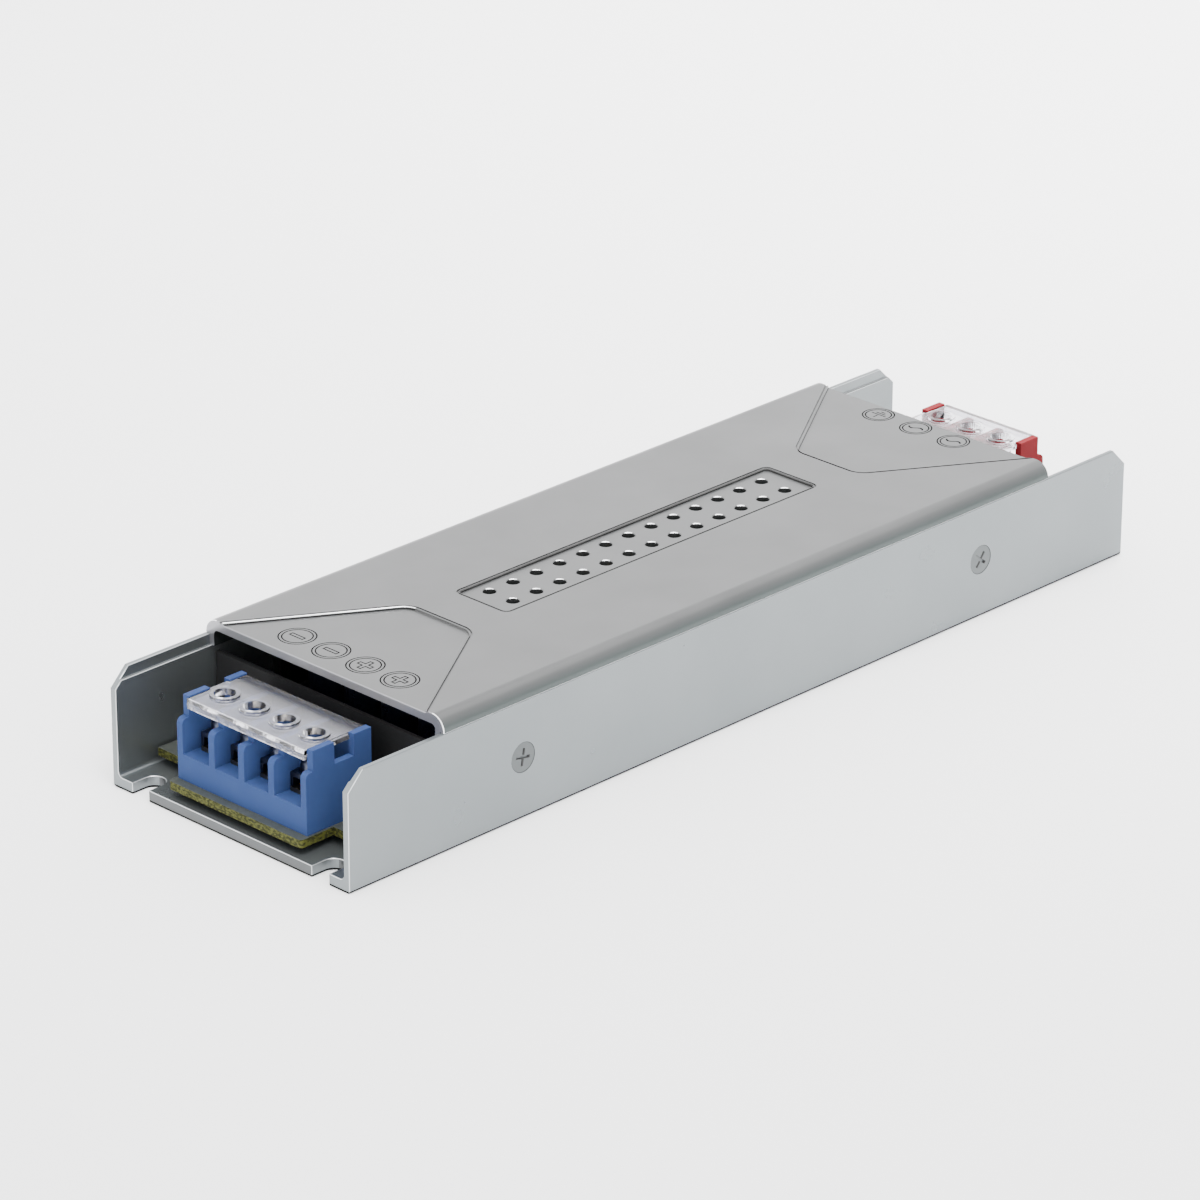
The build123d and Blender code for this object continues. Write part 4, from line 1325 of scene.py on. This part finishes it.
@dataclass
class TerminalEnd:
    """One terminal block with its clear cover, clamps and screws."""

    finishes: Finishes
    end: End
    poles: int
    pitch: float = 7.62 * MM
    side_wall: float = 1.4 * MM
    divider: float = 1.5 * MM
    rear_wall: float = 1.6 * MM
    tall_setback: float = 1.65 * MM
    floor: float = 5.0 * MM
    divider_height: float = 11.7 * MM
    front_radius: float = 1.1 * MM
    notch_start: float = 4.1 * MM
    notch_length: float = 4.6 * MM
    notch_drop: float = 4.1 * MM
    screw_setback: float = 6.85 * MM
    lid_top_drop: float = 0.2 * MM
    lid_thickness: float = 1.0 * MM
    lid_gap: float = 0.06 * MM
    apron: float = 0.8 * MM
    collar_radius: float = 2.8 * MM
    bore_radius: float = 2.0 * MM
    tab_reach: float = 0.6 * MM
    tab_play: float = 0.2 * MM
    lid_play: float = 0.15 * MM
    lid_sunk: float = 0.1 * MM
    lid_edge: float = 0.14 * MM
    well_radius: float = 1.75 * MM
    well_depth: float = 3.0 * MM
    head_height: float = 2.1 * MM
    head_round: float = 0.7 * MM
    shank_radius: float = 1.5 * MM
    cross_length: float = 3.2 * MM
    cross_width: float = 0.7 * MM
    cross_depth: float = 1.2 * MM
    screw_edge: float = 0.1 * MM
    clamp_round: float = 0.5 * MM
    clamp_wall: float = 0.7 * MM
    clamp_roof: float = 1.0 * MM
    clamp_bore: float = 1.53 * MM
    clamp_edge: float = 0.12 * MM
    edge: float = 0.22 * MM
    over: float = 2.0 * MM

    def _output_box(self, node: str) -> tuple[Vector, Vector]:
        """Box of a node of this end, as it would lie at the output end."""
        low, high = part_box(f"{self.end.word}_{node}")
        if self.end is End.INPUT:
            return Vector((-high.x, -high.y, low.z)), Vector((-low.x, -low.y, high.z))
        return low, high

    def _finish(
        self, piece: bpy.types.Object, name: str, finish: bpy.types.Material, body: str, slot: str, node: str
    ) -> None:
        """Turns a piece to its own end, dresses it and hands it to the frame.

        Args:
            piece: finished object, as it lies at the output end.
            name: name of the piece without the end's word.
            finish: its finish.
            body: body that it rides on.
            slot: material slot of the record.
            node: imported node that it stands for.
        """
        if self.end is End.INPUT:
            piece.rotation_euler.z = math.pi
            Bench.settle(piece)
        piece.name = f"{self.end.word}_{name}"
        dress(piece, finish)
        place(piece, body, slot, node)

    def pole_positions(self) -> list[float]:
        """Y of each pole at the output end, first pole first."""
        return [((self.poles - 1) / 2 - pole) * self.pitch for pole in range(self.poles)]

    def build(self) -> None:
        """Models the block, its cover and its screws."""
        self._block()
        self._lid()
        for number, y in enumerate(self.pole_positions(), start=1):
            self._screw(number, y)
            self._clamp(number, y)

    def _block(self) -> None:
        """Moulded block with open compartments, tall ears and cover notches."""
        low, high = self._output_box("terminal_block")
        over = self.over
        step = low.z + self.divider_height
        ear_front = low.x + self.tall_setback
        rear_face = high.x - self.rear_wall
        inner = high.y - self.side_wall
        floor = low.z + self.floor
        lid_under = high.z - self.lid_top_drop - self.lid_thickness - self.lid_gap
        body = Bench.block("block", low, high)
        front, top = low.x - over, high.z + over
        Bench.cut(
            body,
            Bench.block("step", (front, low.y - over, step), (ear_front, high.y + over, top)),
            Bench.block("seat", (front, -inner, lid_under), (high.x + over, inner, top)),
        )
        edges = [inner]
        for index in range(1, self.poles):
            middle = (self.poles / 2 - index) * self.pitch
            edges += [middle + self.divider / 2, middle - self.divider / 2]
        edges.append(-inner)
        rooms = [
            Bench.block("room", (front, edges[k + 1], floor), (rear_face, edges[k], top))
            for k in range(0, len(edges), 2)
        ]
        Bench.cut(body, *rooms)
        Bench.cut(body, Bench.block("lower", (front, -inner, step), (ear_front + self.apron, inner, top)))
        Bench.round_edges(
            body,
            lambda a, b: same(a.x, low.x) and same(b.x, low.x) and same(a.z, step) and same(b.z, step),
            self.front_radius,
            6,
        )
        notch_low = high.x - self.notch_start - self.notch_length
        notch_high = notch_low + self.notch_length
        for side in (-1, 1):
            outer, inside = side * (high.y + over), side * (inner - over / 4)
            bottom = high.z - self.notch_drop
            Bench.cut(body, Bench.block("notch", (notch_low, inside, bottom), (notch_high, outer, top)))
        screw_x, foot = low.x + self.screw_setback, floor - self.well_depth
        wells = [
            Bench.rod("well", (screw_x, y, foot), (screw_x, y, floor + over), self.well_radius, sides=24)
            for y in self.pole_positions()
        ]
        Bench.cut(body, Bench.join(wells, "wells"))
        Bench.ease(body, self.edge, 3)
        Bench.shade(body)
        output = self.end is End.OUTPUT
        finish = self.finishes.blue if output else self.finishes.red
        slot = "blue_plastic" if output else "red_plastic"
        node = f"{self.end.word}_terminal_block"
        self._finish(body, "block_moulding", finish, "case", slot, node)

    def _lid(self) -> None:
        """Clear cover: plate, apron, side tabs and a collared hole over each screw."""
        low, high = self._output_box("terminal_cover")
        block_low, block_high = self._output_box("terminal_block")
        top = block_high.z - self.lid_top_drop
        half = block_high.y - self.side_wall - self.lid_play
        body = Bench.block("lid", (low.x, -half, top - self.lid_thickness), (high.x, half, top))
        tab_x = block_high.x - self.notch_start - self.notch_length / 2
        tab_half = self.notch_length / 2 - self.tab_play
        Bench.add(
            body,
            Bench.block("apron", (low.x, -half, low.z), (low.x + self.apron, half, top - self.lid_sunk)),
            Bench.block(
                "tabs",
                (tab_x - tab_half, -half - self.tab_reach, top - self.lid_thickness),
                (tab_x + tab_half, half + self.tab_reach, top - self.lid_sunk),
            ),
        )
        Bench.cut(
            body,
            Bench.block(
                "under",
                (low.x + self.apron, -half, low.z - MM),
                (high.x + MM, half, top - self.lid_thickness),
            ),
        )
        screw_x = block_low.x + self.screw_setback
        for y in self.pole_positions():
            lower, middle, upper = [Vector((screw_x, y, top + step)) for step in (-3 * MM, -0.5 * MM, 3 * MM)]
            collar = Bench.rod("collar", middle, (screw_x, y, high.z), self.collar_radius, sides=48)
            Bench.add(body, collar)
            Bench.cut(body, Bench.rod("bore", lower, upper, self.bore_radius))
        Bench.ease(body, self.lid_edge, 2)
        Bench.shade(body)
        ride, node = f"{self.end.word}_cover_body", f"{self.end.word}_terminal_cover"
        self._finish(body, "clear_cover", self.finishes.clear, ride, "clear_plastic", node)
        body.data.materials.append(self.finishes.frosted)
        for face in body.data.polygons:
            if abs(face.normal.x) > 0.9 and abs(face.center.x) > abs(low.x) - self.apron - 0.05 * MM:
                face.material_index = 1

    def _screw(self, number: int, y: float) -> None:
        """Cross-head terminal screw with a domed head."""
        low, high = self._output_box(f"screw_{number}")
        x = (low.x + high.x) / 2
        radius = (high.x - low.x) / 2
        neck = high.z - self.head_height
        body = Bench.rod("screw", (x, y, neck), (x, y, high.z), radius, sides=40)
        Bench.round_edges(body, lambda a, b: same(a.z, high.z) and same(b.z, high.z), self.head_round, 4)
        Bench.add(
            body, Bench.rod("shank", (x, y, low.z), (x, y, neck + 0.2 * MM), self.shank_radius, sides=24)
        )
        for wide, deep in ((self.cross_length, self.cross_width), (self.cross_width, self.cross_length)):
            bottom, top = high.z - self.cross_depth, high.z + MM
            bar = Bench.block(
                "bar", (x - wide / 2, y - deep / 2, bottom), (x + wide / 2, y + deep / 2, top)
            )
            Bench.cut(body, bar)
        Bench.ease(body, self.screw_edge, 2)
        Bench.shade(body)
        ride, node = f"{self.end.word}_clamp_screw_{number}", f"{self.end.word}_screw_{number}"
        self._finish(
            body, f"terminal_screw_{number}", self.finishes.nickel, ride, "terminal_screw", node
        )

    def _clamp(self, number: int, y: float) -> None:
        """Saddle clamp under a terminal screw."""
        low, high = self._output_box(f"clamp_{number}")
        body = Bench.block("clamp", low, high)
        Bench.round_edges(body, lengthwise(high.z), self.clamp_round, 4)
        throat = Bench.block(
            "throat",
            (low.x - MM, low.y + self.clamp_wall, low.z - MM),
            (high.x + MM, high.y - self.clamp_wall, high.z - self.clamp_roof),
        )
        x = (low.x + high.x) / 2
        hole = Bench.rod("hole", (x, y, low.z), (x, y, high.z + MM), self.clamp_bore, sides=24)
        Bench.cut(body, throat, hole)
        Bench.ease(body, self.clamp_edge, 2)
        Bench.shade(body)
        ride, node = f"{self.end.word}_clamp_screw_{number}", f"{self.end.word}_clamp_{number}"
        self._finish(body, f"saddle_{number}", self.finishes.nickel, ride, "terminal_clamp", node)


@dataclass
class Board:
    """Circuit board with masked faces and raw cut edges."""

    finishes: Finishes

    def build(self) -> None:
        """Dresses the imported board: mask on its faces, laminate on its cut edges."""
        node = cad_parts["circuit_board"]
        dress(node, self.finishes.mask, self.finishes.laminate)
        for face in node.data.polygons:
            face.material_index = 0 if abs(face.normal.z) > 0.5 else 1
        log.info("circuit_board keeps its packed shape")


@dataclass
class InnerParts:
    """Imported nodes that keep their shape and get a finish."""

    finishes: Finishes

    def build(self) -> None:
        """Gives each inner node its finish."""
        finishes = self.finishes
        table = {
            finishes.film: ("insulating_film", "output_barrier", "input_barrier"),
            finishes.zinc: ("board_spacers", "board_screws", "spring_clips"),
            finishes.tinned: ("output_contacts", "input_contacts"),
            finishes.black: (
                "fuse", "bridge_rectifier", "transformer_bobbin", "controller_chip", "optical_coupler",
                "switching_transistor", "output_rectifier",
            ),
            finishes.sleeve: ("bulk_capacitors", "output_capacitors"),
            finishes.yellow: ("line_capacitor", "transformer_winding"),
            finishes.dipped: ("varistor", "safety_capacitor"),
            finishes.ferrite: ("choke_core", "transformer_core", "inductor_core"),
            finishes.copper: ("choke_windings", "inductor_winding"),
            finishes.silicone: ("thermal_pads",),
        }
        for finish, names in table.items():
            for name in names:
                dress(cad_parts[name], finish)
                log.info("%s keeps its packed shape", name)


@dataclass(frozen=True)
class Spot:
    """Soft-edged light that looks straight down at the floor."""

    name: str
    power: float
    cone: float
    place: Point


@dataclass
class Studio:
    """Pale floor, soft lights and the camera."""

    floor_size: float = 14.0
    floor_colour: Colour = (0.88, 0.88, 0.88)
    camera_azimuth: float = -45.5876
    camera_elevation: float = 23.9666
    camera_roll: float = 0.1164
    camera_distance: float = 1068.75 * MM
    camera_shift_right: float = -7.278 * MM
    camera_shift_up: float = 11.935 * MM
    lens: float = 173.686
    light_level: float = 4.2
    dim_azimuth: float = 42.0
    dim_elevation: float = 4.0
    dim_reach: float = 50.0
    dim_tone: float = 0.6
    sky_stops: tuple[tuple[float, float], ...] = ((0.0, 0.92), (0.42, 0.86), (0.62, 0.42), (1.0, 0.72))
    spots: tuple[Spot, ...] = (
        Spot("backdrop", 150.0, 42.0, (0.7, 0.15, 2.0)),
        Spot("halo", 36.0, 17.0, (0.08, 0.13, 1.3)),
    )
    spot_radius: float = 0.3

    def build(self) -> None:
        """Adds the floor, the lights, the world and the camera."""
        self._floor()
        self._world()
        self._light("key", 2.2, 17.0, azimuth=-20.0, elevation=68.0, size=1.6)
        self._light("rear", 2.4, 1.2, azimuth=-147.5, elevation=41.0, size=0.9)
        self._light("front", 2.4, 4.0, azimuth=-24.0, elevation=35.0, size=0.9)
        self._spots()
        self._camera()

    def _floor(self) -> None:
        """Pale seamless floor."""
        bpy.ops.object.select_all(action="DESELECT")
        bpy.ops.mesh.primitive_plane_add(size=self.floor_size, location=(0, 0, 0))
        floor = bpy.context.view_layer.objects.active
        floor.name = "floor"
        dress(floor, StudioFloor("paper", self.floor_colour).make())

    def _world(self) -> None:
        """Even pale surroundings, darker overhead and in a dim patch beside the near wall."""
        world = bpy.data.worlds.new("studio")
        bpy.context.scene.world = world
        world.use_nodes = True
        tree = world.node_tree
        background = next(node for node in tree.nodes if node.type == "BACKGROUND")
        background.inputs["Strength"].default_value = self.light_level
        direction = tree.nodes.new("ShaderNodeTexCoord").outputs["Generated"]
        towards = tree.nodes.new("ShaderNodeVectorMath")
        towards.operation = "DOT_PRODUCT"
        towards.inputs[1].default_value = self._direction(self.dim_azimuth, self.dim_elevation)
        tree.links.new(direction, towards.inputs[0])
        dim = tree.nodes.new("ShaderNodeMapRange")
        dim.interpolation_type = "SMOOTHSTEP"
        dim.inputs["From Min"].default_value = math.cos(math.radians(self.dim_reach))
        dim.inputs["From Max"].default_value = 1.0
        dim.inputs["To Min"].default_value = 1.0
        dim.inputs["To Max"].default_value = self.dim_tone
        tree.links.new(towards.outputs["Value"], dim.inputs["Value"])
        split = tree.nodes.new("ShaderNodeSeparateXYZ")
        tree.links.new(direction, split.inputs[0])
        ramp = tree.nodes.new("ShaderNodeValToRGB")
        tree.links.new(split.outputs["Z"], ramp.inputs[0])
        elements = ramp.color_ramp.elements
        while len(elements) < len(self.sky_stops):
            elements.new(0.5)
        for element, (position, tone) in zip(elements, self.sky_stops):
            element.position = position
            element.color = (tone, tone, tone * 1.01, 1.0)
        shaded = tree.nodes.new("ShaderNodeVectorMath")
        shaded.operation = "SCALE"
        tree.links.new(ramp.outputs[0], shaded.inputs[0])
        tree.links.new(dim.outputs["Result"], shaded.inputs["Scale"])
        tree.links.new(shaded.outputs["Vector"], background.inputs["Color"])

    def _spots(self) -> None:
        """Adds the spots that brighten the floor behind the object from straight above."""
        for spot in self.spots:
            data = bpy.data.lights.new(spot.name, "SPOT")
            data.energy = spot.power * self.light_level
            data.spot_size = math.radians(spot.cone)
            data.spot_blend = 1.0
            data.shadow_soft_size = self.spot_radius
            light = bpy.data.objects.new(spot.name, data)
            bpy.context.scene.collection.objects.link(light)
            light.location = spot.place

    def _light(
        self, name: str, distance: float, power: float, azimuth: float, elevation: float, size: float
    ) -> None:
        """Adds a soft square light aimed at the object.

        Args:
            name: name of the light.
            distance: distance from the origin.
            power: power in watts.
            azimuth: direction it stands in, counted as the camera's.
            elevation: angle above the floor in degrees.
            size: side of the light.
        """
        back = self._direction(azimuth, elevation)
        data = bpy.data.lights.new(name, "AREA")
        data.energy = power * self.light_level
        data.size = size
        light = bpy.data.objects.new(name, data)
        bpy.context.scene.collection.objects.link(light)
        light.location = back * distance
        light.rotation_euler = (-back).to_track_quat("-Z", "Y").to_euler()

    @staticmethod
    def _direction(azimuth: float, elevation: float) -> Vector:
        """Unit vector from the origin towards a place seen at these angles in degrees."""
        a, e = math.radians(azimuth), math.radians(elevation)
        return Vector((math.sin(a) * math.cos(e), -math.cos(a) * math.cos(e), math.sin(e)))

    def _camera(self) -> None:
        """Camera at the fitted place, with the fitted lens."""
        back = self._direction(self.camera_azimuth, self.camera_elevation)
        right = (-back).cross(Vector((0, 0, 1))).normalized()
        up = right.cross(-back)
        roll = math.radians(self.camera_roll)
        rolled_right = right * math.cos(roll) + up * math.sin(roll)
        rolled_up = up * math.cos(roll) - right * math.sin(roll)
        data = bpy.data.cameras.new("camera")
        data.sensor_width = 36.0
        data.lens = self.lens
        camera = bpy.data.objects.new("camera", data)
        bpy.context.scene.collection.objects.link(camera)
        shift = rolled_right * self.camera_shift_right + rolled_up * self.camera_shift_up
        camera.location = back * self.camera_distance + shift
        camera.rotation_euler = Matrix((rolled_right, rolled_up, back)).transposed().to_euler()
        data.clip_end = 50.0
        bpy.context.scene.camera = camera


def main() -> None:
    """Builds every sub-assembly in order."""
    logging.basicConfig(level=logging.INFO, format="%(name)s: %(message)s")
    finishes = Finishes()
    screws = CaseScrews(finishes)
    ChannelCase(finishes).build(screws)
    screws.build()
    Cover(finishes).build(screws)
    TerminalEnd(finishes, End.OUTPUT, poles=4).build()
    TerminalEnd(finishes, End.INPUT, poles=3).build()
    Board(finishes).build()
    InnerParts(finishes).build()
    Studio().build()


if __name__ == "__main__":
    main()
